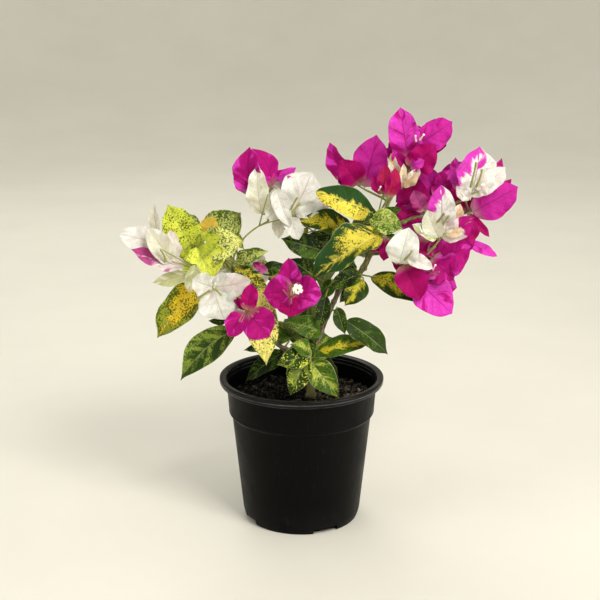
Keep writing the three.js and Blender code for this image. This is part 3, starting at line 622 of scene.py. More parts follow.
def joined(shapes):
    """One shape of many: points stacked, and each one's faces counted on from the points before it."""
    starts = np.cumsum([0] + [len(s.points) for s in shapes[:-1]])
    return Shape(
        np.concatenate([s.points for s in shapes]),
        np.concatenate([s.faces + start for s, start in zip(shapes, starts)]),
        {k: np.concatenate([s.maps[k] for s in shapes]) for k in shapes[0].maps},
        {k: np.concatenate([s.marks[k] for s in shapes]) for k in shapes[0].marks},
        np.concatenate([s.under for s in shapes]),
    )


def to_object(name, shape, material, smooth=True):
    """A mesh object at the origin with the shape's points, faces, maps and marks."""
    mesh = bpy.data.meshes.new(name)
    corners = shape.faces.ravel().astype(np.int32)
    count = len(shape.faces)
    mesh.vertices.add(len(shape.points))
    mesh.vertices.foreach_set("co", shape.points.astype(np.float32).ravel())
    mesh.loops.add(len(corners))
    mesh.loops.foreach_set("vertex_index", corners)
    mesh.polygons.add(count)
    mesh.polygons.foreach_set("loop_start", np.arange(0, 4 * count, 4, dtype=np.int32))
    mesh.polygons.foreach_set("use_smooth", np.full(count, smooth))
    for key, places in shape.maps.items():
        layer = mesh.uv_layers.new(name=key)
        layer.uv.foreach_set("vector", places.reshape(-1).astype(np.float32))
    for key, values in shape.marks.items():
        mark = mesh.attributes.new(key, "FLOAT_VECTOR", "POINT")
        mark.data.foreach_set("vector", values.astype(np.float32).ravel())
    under = mesh.attributes.new("under", "FLOAT", "FACE")
    under.data.foreach_set("value", shape.under.astype(np.float32))
    mesh.update(calc_edges=True)
    mesh.validate()
    mesh.materials.append(material)
    piece = bpy.data.objects.new(name, mesh)
    bpy.context.scene.collection.objects.link(piece)
    return piece


def finish_piece(piece, slot, *nodes):
    """The piece rides on the one body and stands for CAD nodes; its slot is not used."""
    if not len(piece.data.polygons):
        raise RuntimeError(f"{piece.name}: nothing was built")
    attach(piece, "root")
    if nodes:
        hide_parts(*nodes)


def unit(v):
    """Each vector divided by its length."""
    return v / np.maximum(np.linalg.norm(v, axis=-1, keepdims=True), 1e-12)


def grid_faces(rows, columns, closed=False):
    """Quads between neighbouring points of a grid, round from the last column to the first if closed."""
    row, column = np.meshgrid(np.arange(rows - 1), np.arange(columns - (not closed)), indexing="ij")
    here = row * columns
    after = (column + 1) % columns
    quads = [here + column, here + after, here + columns + after, here + columns + column]
    return np.stack(quads, -1).reshape(-1, 4)


def corner_places(rows, columns, across, along, closed=False):
    """The place of each corner of grid_faces in a map: across runs over the columns, along over the rows.
    A closed grid has one more value across than columns, so that the seam doesn't run backwards."""
    row, column = np.meshgrid(np.arange(rows - 1), np.arange(columns - (not closed)), indexing="ij")
    steps = [(0, 0), (0, 1), (1, 1), (1, 0)]
    places = [np.stack([across[column + c], along[row + r]], -1) for r, c in steps]
    return np.stack(places, 2).reshape(-1, 4, 2)


def cap_faces(columns, first, flip=False):
    """Quads straight across an even ring of points, which close the end of a tube."""
    k = np.arange(columns // 2 - 1)
    quads = first + np.stack([k, k + 1, columns - 2 - k, columns - 1 - k], -1)
    return quads[:, ::-1] if flip else quads


def tube_faces(rows, columns):
    """Quads round a closed grid of rings, with both its ends capped."""
    last = (rows - 1) * columns
    return np.concatenate([grid_faces(rows, columns, True), cap_faces(columns, 0, True),
                           cap_faces(columns, last)])


def round_turn(columns):
    """Even angles all the way round."""
    return np.arange(columns) * 2 * math.pi / columns


def run(path):
    """How far along a path each of its points is."""
    return np.concatenate([[0], np.cumsum(np.linalg.norm(np.diff(path, axis=0), axis=1))])


def along_path(path, radii, columns=12, relief=None):
    """A closed tube. Point (row, column) = path + radius * (1 + relief) * (side * cos + lift * sin),
    with side and lift square to the path, and both ends capped."""
    path = np.asarray(path, float)
    tangents = unit(np.gradient(path, axis=0))
    reference = np.eye(3)[np.argmin(np.abs(tangents).max(0))]
    side = unit(np.cross(tangents, reference))
    lift = np.cross(side, tangents)
    turn = round_turn(columns)
    radius = np.asarray(radii, float)[:, None] * (1 + (0 if relief is None else relief))
    radius = np.broadcast_to(radius, (len(path), columns))[..., None]
    ring = side[:, None] * np.cos(turn)[None, :, None] - lift[:, None] * np.sin(turn)[None, :, None]
    points = (path[:, None] + radius * ring).reshape(-1, 3)
    rows = len(path)
    girth = 2 * math.pi * float(np.mean(radii))
    places = corner_places(rows, columns, np.linspace(0, girth, columns + 1) / CM, run(path) / CM, True)
    faces = tube_faces(rows, columns)
    flat = np.zeros((len(faces) - len(places), 4, 2))
    return Shape(points, faces, {"Grain": np.concatenate([places, flat])})


def bend(a, b, c, d, rows):
    """A smooth path from a to d: the cubic curve pulled towards b and then c."""
    t = np.linspace(0, 1, rows)[:, None]
    return (1 - t) ** 3 * a + 3 * (1 - t) ** 2 * t * b + 3 * (1 - t) * t ** 2 * c + t ** 3 * d


def ripples(x, y, rng, waves=5, reach=1.0):
    """A smooth uneven field from about -1 to 1: the mean of sine waves of random way and phase."""
    ways = rng.uniform(-1, 1, (waves, 2)) * reach
    phases = rng.uniform(0, 2 * math.pi, waves)
    field = sum(np.sin(w[0] * x + w[1] * y + p) for w, p in zip(ways, phases))
    return field / math.sqrt(waves)


# ---------------------------------------------------------------- places taken from the frame

def in_box(node, share):
    """The point at these shares of a CAD node's box."""
    low, high = (np.array(corner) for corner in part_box(node))
    return low + np.asarray(share) * (high - low)


def triangles(node):
    """The corners of a CAD node's triangles, one row for each triangle."""
    mesh = frame["nodes"][node].data
    mesh.calc_loop_triangles()
    points = np.empty(len(mesh.vertices) * 3, np.float32)
    mesh.vertices.foreach_get("co", points)
    corners = np.empty(len(mesh.loop_triangles) * 3, np.int32)
    mesh.loop_triangles.foreach_get("vertices", corners)
    return points.reshape(-1, 3)[corners].reshape(-1, 3, 3).astype(float)


def centreline(node, cuts=16):
    """Middle points and radii along a limb. Planes across its longest direction cut the edges of its
    triangles; each ring of cuts gives a middle, and its narrowest spread gives the radius."""
    corners = triangles(node)
    middle = corners.reshape(-1, 3).mean(0)
    way = np.linalg.svd(corners.reshape(-1, 3) - middle, full_matrices=False)[2][0]
    start, end = corners, np.roll(corners, -1, axis=1)
    from_height, to_height = (start - middle) @ way, (end - middle) @ way
    low, high = from_height.min(), from_height.max()
    path, radii = [], []
    for level in low + (high - low) * (np.arange(cuts) + 0.5) / cuts:
        crossed = (from_height - level) * (to_height - level) < 0
        share = (level - from_height[crossed]) / (to_height - from_height)[crossed]
        ring = start[crossed] + share[:, None] * (end - start)[crossed]
        heart = (ring.min(0) + ring.max(0)) / 2
        spread = np.linalg.eigvalsh(np.cov((ring - ring.mean(0)).T))
        path.append(heart)
        radii.append(math.sqrt(2 * max(spread[1], 1e-10)))
    path = np.array(path)
    ends = [path[0] + (path[0] - path[1]) / 2, path[-1] + (path[-1] - path[-2]) / 2]
    path = np.concatenate([ends[:1], path, ends[1:]])
    return path, np.array([radii[0], *radii, radii[-1]])


def evenly(path, radii, step):
    """The same path and radii at points about a step apart."""
    so_far = run(path)
    at = np.linspace(0, so_far[-1], max(6, round(so_far[-1] / step)))
    return np.stack([np.interp(at, so_far, path[:, i]) for i in range(3)], 1), np.interp(at, so_far, radii)


def smoothed(values, times):
    """Each inner value moved to the mean of itself and its neighbours, a number of times."""
    for _ in range(times):
        values[1:-1] = (values[:-2] + 2 * values[1:-1] + values[2:]) / 4
    return values


def limb_paths():
    """Every limb's path and radii from its root, which is drawn on into the limb that it springs from."""
    found = {}
    for name, parent in SPRINGS_FROM.items():
        path, radii = centreline(name)
        stem, girth = found.get(parent, (None, None))
        if parent is None:
            gaps = [path[0, 2], path[-1, 2]]
        else:
            gaps = [np.linalg.norm(stem - end, axis=1).min() for end in (path[0], path[-1])]
        if gaps[1] < gaps[0]:
            path, radii = path[::-1], radii[::-1]
        if parent is None:
            root, thick = path[0] + [0, 0, -4 * MM], radii[0] * 1.15
        else:
            near = np.argmin(np.linalg.norm(stem - path[0], axis=1))
            root, thick = stem[near], min(girth[near] * 0.9, radii[0] * 1.2)
        path, radii = evenly(np.concatenate([[root], path]), np.concatenate([[thick], radii]), 1 * MM)
        found[name] = (smoothed(path, 30), smoothed(radii, 12))
    return found


# ---------------------------------------------------------------- blades: leaves and bracts

# Places across a blade, close together at the midrib and at the edge.
ACROSS = np.array([-1, -0.975, -0.84, -0.64, -0.42, -0.2, -0.055, 0, 0.055, 0.2, 0.42, 0.64, 0.84, 0.975, 1])
BLADE_ROWS = 25
FILLER_ROWS = 17
TIP_CURL = 0.02
GOLDEN_ANGLE = math.pi * (3 - math.sqrt(5))
SPRAY_TRIES = 14
PROBES = 24  # points of a blade that are looked for behind the masses
HIDDEN_SHARE = 0.86  # how many of them have to be found there

# Rise and fall of the outline, how much its tip is drawn in and over what share of the length.
OUTLINES = {"leaf": (0.60, 0.98, 0.45, 0.13), "bract": (0.5, 0.70, 0.5, 0.09)}


def outline(kind, v, blunt=0.0):
    """Half width of a blade at v from foot to point, as a share of its greatest:
    v^rise (1-v)^fall, brought to 1 at its widest, times 1 - drawn e^-((1-v)/reach)^2. A blunt blade falls
    later and isn't drawn in."""
    rise, fall, drawn, reach = OUTLINES[kind]
    fall, drawn = fall * (1 - 0.6 * blunt), drawn * (1 - blunt)
    peak = rise / (rise + fall)
    width = v ** rise * (1 - v) ** fall / (peak ** rise * (1 - peak) ** fall)
    return width * (1 - drawn * np.exp(-((1 - v) / reach) ** 2))


def facing(turn, lean):
    """The way that a face looks: -Y turned about Z and leaning back, in degrees."""
    a, b = math.radians(turn), math.radians(lean)
    return np.array([math.sin(a) * math.cos(b), -math.cos(a) * math.cos(b), math.sin(b)])


def blade(kind, foot, point, width, face, look, rng, fold, arch, bow=0.0, roll=0, blunt=0.0,
          rows=BLADE_ROWS):
    """A closed blade. With s to the side, n out of the face and v from foot to point:
    midrib(v) = foot + (point - foot) v + 4 v (1 - v) length (arch n + bow s) - curl length (2 v - 1)^2 n,
    with the last only past the middle;
    point(u, v) = midrib(v) + half(v) (u cos(fold) s + |u| sin(fold) n) + ripple(u, v) n.
    The under side is the same sheet, moved back by a thickness that falls to nothing at the edge."""
    made = settings().leaf if kind == "leaf" else settings().bract
    foot, point = np.asarray(foot, float), np.asarray(point, float)
    length = np.linalg.norm(point - foot)
    axis = (point - foot) / length
    out = unit(face - (face @ axis) * axis)
    angle = math.radians(roll)
    out = out * math.cos(angle) + np.cross(axis, out) * math.sin(angle)
    side = np.cross(axis, out)

    t = np.linspace(0, 1, rows)
    v = 0.6 * t + 0.4 * (1 - np.cos(math.pi * t)) / 2
    down, u = v[:, None], ACROSS[None]
    hump = 4 * v * (1 - v)
    midrib = foot + length * (down * axis
                              + hump[:, None] * (arch * out + bow * side)
                              - TIP_CURL * np.clip(2 * v - 1, 0, 1)[:, None] ** 2 * out)
    forward = unit(np.gradient(midrib, axis=0))
    normal = unit(np.cross(side, forward))
    half = 0.5 * width * outline(kind, v, blunt)
    half = np.maximum(half, (0.45 * (1 - v) + 0.12) * MM)[:, None]
    lift = np.sqrt(u ** 2 + 0.01) - 0.1
    tilt = math.radians(fold)
    waves = made.ripple if kind == "leaf" else made.crinkle
    phase = rng.uniform(0, 2 * math.pi, 6)
    wobble = np.where(u < 0, np.sin(7 * down + phase[4]), np.sin(8 * down + phase[5]))
    spread = 1 + 0.07 * wobble * np.abs(u)
    beats = rng.uniform(1.2, 2.2) if kind == "leaf" else rng.uniform(1.6, 2.8)
    swing = np.where(u < 0, 0, 1.3)
    edge = np.sin(2 * math.pi * beats * down + phase[0] + swing * phase[1])
    fine = np.sin(2 * math.pi * (3.1 * beats * down + 0.4 * u) + phase[2])
    ripple = waves * half * (u ** 2 * edge + 0.22 * np.abs(u) * fine)
    pucker = 0.05 * half * np.sin(2 * math.pi * (5 * down - 1.1 * np.abs(u)) + phase[3])
    pucker = pucker * (1 - u ** 2) * np.abs(u) ** 0.5
    groove = -0.22 * MM * np.exp(-(u / 0.06) ** 2) * (1 - down)
    rise = half * lift * math.sin(tilt) + ripple + pucker + groove
    sheet = (midrib[:, None] + (half * u * spread * math.cos(tilt))[..., None] * side
             + rise[..., None] * normal[:, None])

    columns = len(ACROSS)
    thick = np.sqrt(np.clip(1 - np.abs(u) ** 6, 0, 1)) * np.clip(hump[:, None] * 6, 0, 1)
    thick = made.thickness * thick
    rib = 0.55 * MM * np.exp(-(u / 0.05) ** 2) * np.sqrt(1 - down) * (hump[:, None] > 0)
    back = sheet - (thick + rib)[..., None] * normal[:, None]
    number = np.arange(rows * columns).reshape(rows, columns)
    back_number = number.copy()
    inner = np.arange((rows - 2) * (columns - 2)).reshape(rows - 2, columns - 2)
    back_number[1:-1, 1:-1] = rows * columns + inner
    points = np.concatenate([sheet.reshape(-1, 3), back[1:-1, 1:-1].reshape(-1, 3)])
    faces = grid_faces(rows, columns)
    back_faces = back_number.ravel()[faces][:, ::-1]

    # the maps: Blade runs 0 to 1 both ways; Grain is in centimetres, slanted so that its first
    # direction follows the side veins, and starts elsewhere on each half of each blade
    place = corner_places(rows, columns, (ACROSS + 1) / 2, v)
    start = rng.uniform(0, 40, 4)
    right = (place[..., 0].mean(1) > 0.5)[:, None]
    out_cm = np.abs(place[..., 0] - 0.5) * width / CM
    grain = np.stack([out_cm + np.where(right, start[0], start[2]),
                      place[..., 1] * length / CM - 0.75 * out_cm + np.where(right, start[1], start[3])], -1)
    maps = {"Blade": np.concatenate([place, place[:, ::-1]]),
            "Grain": np.concatenate([grain, grain[:, ::-1]])}

    looks = LEAF_LOOKS if kind == "leaf" else BRACT_LOOKS
    *colours, cover, rim, lean_side, tip, flecks, pale = looks[look]
    ground, splash, fleck = (np.array(getattr(made, colour)) for colour in colours)
    shade = rng.uniform(0.9, 1.1)
    tints = {"ground": ground * shade, "splash": splash * shade, "fleck": fleck,
             "spread": (cover + rng.uniform(-0.02, 0.02), rim, lean_side), "habit": (tip, flecks, pale)}
    marks = {key: np.tile(np.asarray(value, float), (len(points), 1)) for key, value in tints.items()}
    under = np.repeat([0.0, 1.0], len(faces))
    return Shape(points, np.concatenate([faces, back_faces]), maps, marks, under)


def lay_out(blades):
    """Joins blades and adds the map OFBake: a sheet of equal cells, one for each side of each blade."""
    columns = max(1, round(math.sqrt(2 * len(blades) / 0.6)))
    rows = math.ceil(2 * len(blades) / columns)
    for index, one in enumerate(blades):
        below = (one.under > 0.5)[:, None]
        cell = 2 * index + below
        place = one.maps["Blade"].copy()
        place[..., 0] = np.where(below, 1 - place[..., 0], place[..., 0])
        corner = np.stack([cell % columns, cell // columns], -1)
        one.maps["OFBake"] = (corner + 0.03 + 0.94 * place) / np.array([columns, rows])
    return joined(blades)


# ---------------------------------------------------------------- the foliage as a whole

class Stalk:
    """Where a blade is held: its foot, the way it leaves the stalk, its kind and the mass it belongs to."""

    def __init__(self, foot, way, kind, mass):
        self.foot, self.way, self.kind, self.mass = foot, way, kind, mass


def toward_viewer():
    """The way from the bush to the camera."""
    angle = settings().stage.elevation
    return Vector((0, -math.cos(angle), math.sin(angle)))


def solid_tree():
    """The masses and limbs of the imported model, to test points against."""
    nodes = [n for n in frame["nodes"] if n not in ("pot", "potting_mix")]
    corners = np.concatenate([triangles(n) for n in nodes])
    faces = np.arange(len(corners) * 3).reshape(-1, 3)
    return BVHTree.FromPolygons(corners.reshape(-1, 3).tolist(), faces.tolist())


def within(shape, tree, low, high):
    """Whether a blade stays in the model's box and behind the masses, so that it closes no gap."""
    if (shape.points < low).any() or (shape.points > high).any():
        return False
    way = toward_viewer()
    probes = shape.points[:: max(1, len(shape.points) // PROBES)]
    hidden = [tree.ray_cast(Vector(p) - way * (4 * MM), way)[0] is not None for p in probes]
    return np.mean(hidden) > HIDDEN_SHARE


def middle_and_half(mass):
    """The middle of a mass's box and half of its size."""
    low, high = (np.array(c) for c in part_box(mass))
    return (low + high) / 2, (high - low) / 2


def bract_places(mass, heads, looks, rng, behind):
    """Heads of three bracts dealt over a mass by the golden angle: yields for each bract its foot, the way
    it points, how far it reaches, the way its face looks, and its look."""
    middle, half = middle_and_half(mass)
    for i in range(heads):
        angle = i * GOLDEN_ANGLE + rng.uniform(-0.4, 0.4)
        out = 0.67 * math.sqrt((i + 0.3) / heads)
        share = [out * math.cos(angle), rng.uniform(-0.2, 0.7), out * math.sin(angle)]
        head = middle + half * np.array(share) + np.array([0, behind, 0])
        look = unit(np.array([math.cos(angle) * 0.7, 1.0, 0.25 + 0.4 * math.sin(angle)]))
        side = unit(np.cross(look, [0, 0, 1]))
        lift = np.cross(side, look)
        spin = rng.uniform(0, 2 * math.pi)
        for third in range(3):
            turn = spin + third * 2 * math.pi / 3 + rng.uniform(-0.15, 0.15)
            ray = side * math.cos(turn) + lift * math.sin(turn)
            way = unit(ray * 0.88 + look * 0.42)
            dealt = looks[(i + third) % len(looks)]
            yield head + 1.5 * MM * ray, way, rng.uniform(30, 36) * MM, look - 0.5 * ray, dealt


def leaf_places(mass, count, looks, rng, behind):
    """Leaves that turn round the middle of a mass by the golden angle and hang out and away from the viewer,
    as bract_places."""
    middle, half = middle_and_half(mass)
    for i in range(count):
        angle = i * GOLDEN_ANGLE + rng.uniform(-0.3, 0.3)
        ring = np.array([math.cos(angle), 0, math.sin(angle)])
        foot = middle + half * (0.3 * ring + [0, rng.uniform(-0.7, 0.5), 0]) + [0, behind, 0]
        way = unit(0.8 * ring + [0, rng.uniform(0.0, 0.9), -0.25])
        face = np.array([0.4 * math.cos(angle), rng.choice([1.0, 1.0, -0.8]), 0.7])
        yield foot, way, rng.uniform(27, 37) * MM, face, looks[i % len(looks)]


def bough_places(limb, looks, rng):
    """A leaf at each node of a limb, turned round it by the golden angle, as bract_places."""
    path, radii = evenly(*limb_paths()[limb], settings().stem.node_gap)
    forward = unit(np.gradient(path, axis=0))
    for i in range(1, len(path) - 1):
        side = unit(np.cross(forward[i], [0, 0, 1]))
        ray = side * math.cos(i * GOLDEN_ANGLE) + np.cross(side, forward[i]) * math.sin(i * GOLDEN_ANGLE)
        foot = path[i] + ray * (radii[i] + rng.uniform(5, 9) * MM)
        way = unit(ray + 0.5 * forward[i] + [0, 0, -0.2])
        yield foot, way, rng.uniform(24, 34) * MM, np.array([0, 0.4, 1.0]) - 0.3 * way, looks[i % len(looks)]


def fitted(places, kind, mass, rng, fits):
    """The branching rule of the far side: each leaf or bract is tried at its place, and again swung a little
    and a little smaller, until it fits behind what shows."""
    kept = []
    for foot, way, reach, face, look in places:
        for attempt in range(SPRAY_TRIES):
            length = reach * (1 - 0.35 * attempt / SPRAY_TRIES)
            swung = unit(way + rng.normal(size=3) * 0.08 * attempt)
            wide = length * (rng.uniform(0.5, 0.62) if kind == "leaf" else rng.uniform(0.75, 0.9))
            one = blade(kind, foot, foot + length * swung, wide, face, look, rng, fold=rng.uniform(10, 20),
                        arch=rng.uniform(0.04, 0.14), bow=rng.uniform(-0.05, 0.05), rows=FILLER_ROWS)
            if fits(one):
                kept.append((mass, kind, one, Stalk(foot, swung, kind, mass + " far side")))
                break
    return kept


CACHE = {}  # what more than one operator needs, worked out once


def grow_foliage():
    """Every leaf and bract by mass and kind, and the stalks that hold them."""
    if "foliage" in CACHE:
        return CACHE["foliage"]
    found, stalks = {}, []
    for index, (mass, rows) in enumerate(BLADES.items()):
        rng = draws(index)
        for look, foot, point, width, turn, lean, fold, arch, *more in rows:
            kind = "leaf" if look in LEAF_LOOKS else "bract"
            foot, point = in_box(mass, foot), in_box(mass, point)
            wide = width * np.linalg.norm(point - foot)
            setting = {"fold": fold, "arch": arch, **(more[0] if more else {})}
            one = blade(kind, foot, point, wide, facing(turn, lean), look, rng, **setting)
            found.setdefault((mass, kind), []).append(one)
            stalks.append(Stalk(foot, unit(point - foot), kind, mass))
    tree = solid_tree()
    low, high = (np.array(c) for c in CAD_BOX)

    def fits(one):
        return within(one, tree, low - 3 * MM, high + 3 * MM)

    grown = []
    for index, (mass, (kind, count, looks, behind)) in enumerate(SPRAYS.items()):
        rng = draws(500 + index)
        rule = bract_places if kind == "bract" else leaf_places
        grown.append(fitted(rule(mass, count, looks, rng, behind * MM), kind, mass, rng, fits))
    for index, (limb, (mass, looks)) in enumerate(LEAFY_BOUGHS.items()):
        rng = draws(700 + index)
        grown.append(fitted(bough_places(limb, looks, rng), "leaf", mass, rng, fits))
    for mass, kind, one, stalk in (row for kept in grown for row in kept):
        found.setdefault((mass, kind), []).append(one)
        stalks.append(stalk)
    bare = set(SPRAYS) - {mass for mass, _ in found}
    if bare:
        raise RuntimeError(f"nothing fits on {sorted(bare)}")
    CACHE["foliage"] = (found, stalks)
    return CACHE["foliage"]


def mass_slot(mass):
    """The material slot that the record gives to a node."""
    rows = frame["record"]["subparts"]
    return next(row["material_slot"] for row in rows if row["node"] == mass)


def twig_paths():
    """The twigs that grow on from the limbs. Each mass gets a twig from the nearest limb to the middle of
    the feet of its blades, unless a limb is near, and each blade a stalk from the nearest point of these."""
    limbs = limb_paths()
    network = np.concatenate([path[4:] for path, _ in limbs.values()])
    girths = np.concatenate([radii[4:] for _, radii in limbs.values()])
    stalks = grow_foliage()[1]
    petiole = settings().stem.petiole
    paths = {"leaf": [], "bract": []}
    masses = list(dict.fromkeys(stalk.mass for stalk in stalks))
    for index, mass in enumerate(masses):
        rng = draws(900 + index)
        held = [s for s in stalks if s.mass == mass]
        kind = held[0].kind
        feet = np.array([s.foot for s in held])
        hub = np.median(feet, axis=0)
        hub = hub - 0.25 * (np.mean([s.way for s in held], axis=0)) * 8 * MM
        drop = np.linalg.norm(network - hub, axis=1) + 0.35 * np.maximum(network[:, 2] - hub[2], 0)
        near = np.argmin(drop)
        root, reach = network[near], np.linalg.norm(hub - network[near])
        if reach > 5 * MM:
            sag = rng.uniform(-0.06, 0.06, 3) * reach
            start = root + (hub - root) * 0.35 + np.array([0, 0, 0.10 * reach]) + sag
            end = hub - (hub - root) * 0.3 + np.array([0, 0, -0.05 * reach])
            path = bend(root, start, end, hub, max(8, int(reach / (1.5 * MM))))
            girth = np.linspace(min(girths[near], 1.5 * petiole), 1.05 * petiole, len(path))
            paths[kind].append((path, girth))
            network, girths = np.concatenate([network, path[2:]]), np.concatenate([girths, girth[2:]])
        for s in held:
            away = np.linalg.norm(network - s.foot, axis=1) + 0.4 * np.maximum((network - s.foot) @ s.way, 0)
            root = network[np.argmin(away)]
            reach = np.linalg.norm(s.foot - root)
            start = root + (s.foot - root) * 0.3 + s.way * 0.1 * reach
            end = s.foot - s.way * 0.4 * reach
            stop = s.foot + s.way * 1.2 * MM
            path = np.concatenate([bend(root, start, end, s.foot, max(6, int(reach / (1.2 * MM)))), [stop]])
            girth = np.concatenate([np.linspace(1.05, 0.8, len(path) - 1) * petiole, [0.5 * petiole]])
            paths[s.kind].append((path, girth * (1.0 if s.kind == "leaf" else 0.85)))
    for mass, rows in OPEN_STALKS.items():
        for start, end in rows:
            start, end = in_box(mass, start), in_box(mass, end)
            root = network[np.argmin(np.linalg.norm(network - start, axis=1))]
            lift = np.array([0, -0.06, 0.04]) * np.linalg.norm(end - root)
            path = bend(root, root + (end - root) * 0.35 + lift, end - (end - root) * 0.3 + lift, end, 14)
            paths["bract"].append((path, np.linspace(0.95, 0.7, len(path)) * petiole))
    return paths


# ---------------------------------------------------------------- shader nodes

class Nodes:
    """Adds shader nodes to a tree, with their settings and what feeds each input."""

    def __init__(self, tree):
        self.tree = tree

    def feed(self, inputs, values):
        for key, value in values.items():
            if isinstance(value, bpy.types.NodeSocket):
                self.tree.links.new(value, inputs[key])
            else:
                inputs[key].default_value = value

    def add(self, kind, inputs=None, **options):
        node = self.tree.nodes.new(kind)
        for key, value in options.items():
            setattr(node, key, value)
        self.feed(node.inputs, inputs or {})
        return node

    def math(self, operation, a, b=0.0, c=0.0):
        return self.add("ShaderNodeMath", {0: a, 1: b, 2: c}, operation=operation).outputs[0]

    def mix(self, factor, a, b, blend="MIX"):
        inputs = {0: factor, 6: a, 7: b}
        return self.add("ShaderNodeMix", inputs, data_type="RGBA", blend_type=blend).outputs[2]

    def shaded(self, colour, tone):
        grey = self.add("ShaderNodeCombineXYZ", {0: tone, 1: tone, 2: tone}).outputs[0]
        return self.mix(1.0, colour, grey, "MULTIPLY")

    def bump(self, height, distance, strength):
        inputs = {"Height": height, "Distance": distance, "Strength": strength}
        return self.add("ShaderNodeBump", inputs).outputs[0]

    def uv(self, name):
        return self.add("ShaderNodeUVMap", uv_map=name).outputs[0]

    def mark(self, name, output="Vector"):
        return self.add("ShaderNodeAttribute", attribute_name=name).outputs[output]

    def here(self):
        return self.add("ShaderNodeTexCoord").outputs["Object"]

    def ramp(self, value, low, high, to_low=0.0, to_high=1.0):
        inputs = {"Value": value, "From Min": low, "From Max": high, "To Min": to_low, "To Max": to_high}
        return self.add("ShaderNodeMapRange", inputs, interpolation_type="SMOOTHSTEP").outputs[0]

    def noise(self, vector, scale, detail=3.0, rough=0.55, distortion=0.0):
        inputs = {"Vector": vector, "Scale": scale, "Detail": detail, "Roughness": rough,
                  "Distortion": distortion}
        return self.add("ShaderNodeTexNoise", inputs).outputs["Fac"]

    def stretch(self, vector, scale):
        return self.add("ShaderNodeMapping", {"Vector": vector, "Scale": scale}).outputs[0]

    def split(self, vector):
        return self.add("ShaderNodeSeparateXYZ", {0: vector}).outputs


NUMBER, VECTOR = "NodeSocketFloat", "NodeSocketVector"


def node_group(name, inputs, outputs):
    """A shader node group with named inputs and number outputs, and what adds nodes to it."""
    group = bpy.data.node_groups.new(name, "ShaderNodeTree")
    for key, kind, value in inputs:
        socket = group.interface.new_socket(name=key, in_out="INPUT", socket_type=kind)
        if value is not None:
            socket.default_value = value
    for key in outputs:
        group.interface.new_socket(name=key, in_out="OUTPUT", socket_type=NUMBER)
    nodes = Nodes(group)
    source = nodes.add("NodeGroupInput")
    sink = nodes.add("NodeGroupOutput")
    return group, nodes, source.outputs, sink.inputs


def splash_group():
    """Ragged splashes: a mask from slanted noise, pushed by the place on the blade."""
    group, n, given, sink = node_group(
        "Splash", [("Grain", VECTOR, None), ("Across", NUMBER, 0.0), ("Along", NUMBER, 0.5),
                   ("Spread", VECTOR, None), ("Tip", NUMBER, 0.0), ("Size", NUMBER, 1.0)],
        ["Mask", "Field"])
    wide = n.noise(n.stretch(given["Grain"], (0.6, 1.3, 1.0)), given["Size"], 4.0, 0.52, 0.3)
    spread = n.split(given["Spread"])
    from_rib = n.math("SUBTRACT", n.math("ABSOLUTE", given["Across"]), 0.42)
    push = n.math("MULTIPLY_ADD", from_rib, spread[1], spread[0])
    push = n.math("MULTIPLY_ADD", given["Across"], spread[2], push)
    push = n.math("MULTIPLY_ADD", n.math("SUBTRACT", given["Along"], 0.5), given["Tip"], push)
    field = n.math("ADD", wide, push)
    n.feed(sink, {"Field": field, "Mask": n.ramp(field, 0.488, 0.512)})
    return group


def fleck_group():
    """Small ragged flecks, thicker where their amount is higher."""
    group, n, given, sink = node_group(
        "Flecks", [("Grain", VECTOR, None), ("Amount", NUMBER, 0.0), ("Size", NUMBER, 6.0)],
        ["Mask"])
    place = n.split(given["Grain"])
    along = n.math("MULTIPLY_ADD", place[0], 0.75, place[1])
    upright = n.add("ShaderNodeCombineXYZ", {0: place[0], 1: along}).outputs[0]
    small = n.noise(upright, given["Size"], 2.0, 0.6, 0.1)
    crowd = n.noise(upright, 1.1, 2.0)
    level = n.math("MULTIPLY_ADD", n.math("SUBTRACT", crowd, 0.5), 0.5, small)
    level = n.math("ADD", level, given["Amount"])
    n.feed(sink, {"Mask": n.ramp(level, 0.585, 0.61)})
    return group


def vein_group():
    """Midrib, slanted side veins and the fine net between them, as a mask and a height."""
    group, n, given, sink = node_group(
        "Veins", [("Grain", VECTOR, None), ("Across", NUMBER, 0.0), ("Along", NUMBER, 0.5),
                  ("Gap", NUMBER, 0.55), ("Net", NUMBER, 3.0)],
        ["Rib", "Side", "Net", "Height"])
    rib = n.ramp(n.math("ABSOLUTE", given["Across"]), 0.02, 0.055, 1.0, 0.0)
    wander = n.noise(given["Grain"], 1.2, 2.0)
    slant = n.split(given["Grain"])[1]
    slant = n.math("MULTIPLY_ADD", n.math("SUBTRACT", wander, 0.5), 0.35, slant)
    wave = n.math("PINGPONG", slant, n.math("MULTIPLY", given["Gap"], 0.5))
    side = n.ramp(wave, 0.0, 0.035, 1.0, 0.0)
    fade = n.ramp(n.math("ABSOLUTE", given["Across"]), 0.55, 1.0, 1.0, 0.25)
    side = n.math("MULTIPLY", side, fade)
    cells = n.add("ShaderNodeTexVoronoi", {"Vector": given["Grain"], "Scale": given["Net"]},
                  feature="DISTANCE_TO_EDGE").outputs["Distance"]
    net = n.ramp(cells, 0.0, 0.09, 1.0, 0.0)
    height = n.math("MAXIMUM", rib, n.math("MULTIPLY", side, 0.8))
    height = n.math("MAXIMUM", height, n.math("MULTIPLY", net, 0.35))
    n.feed(sink, {"Rib": rib, "Side": side, "Net": net, "Height": height})
    return group


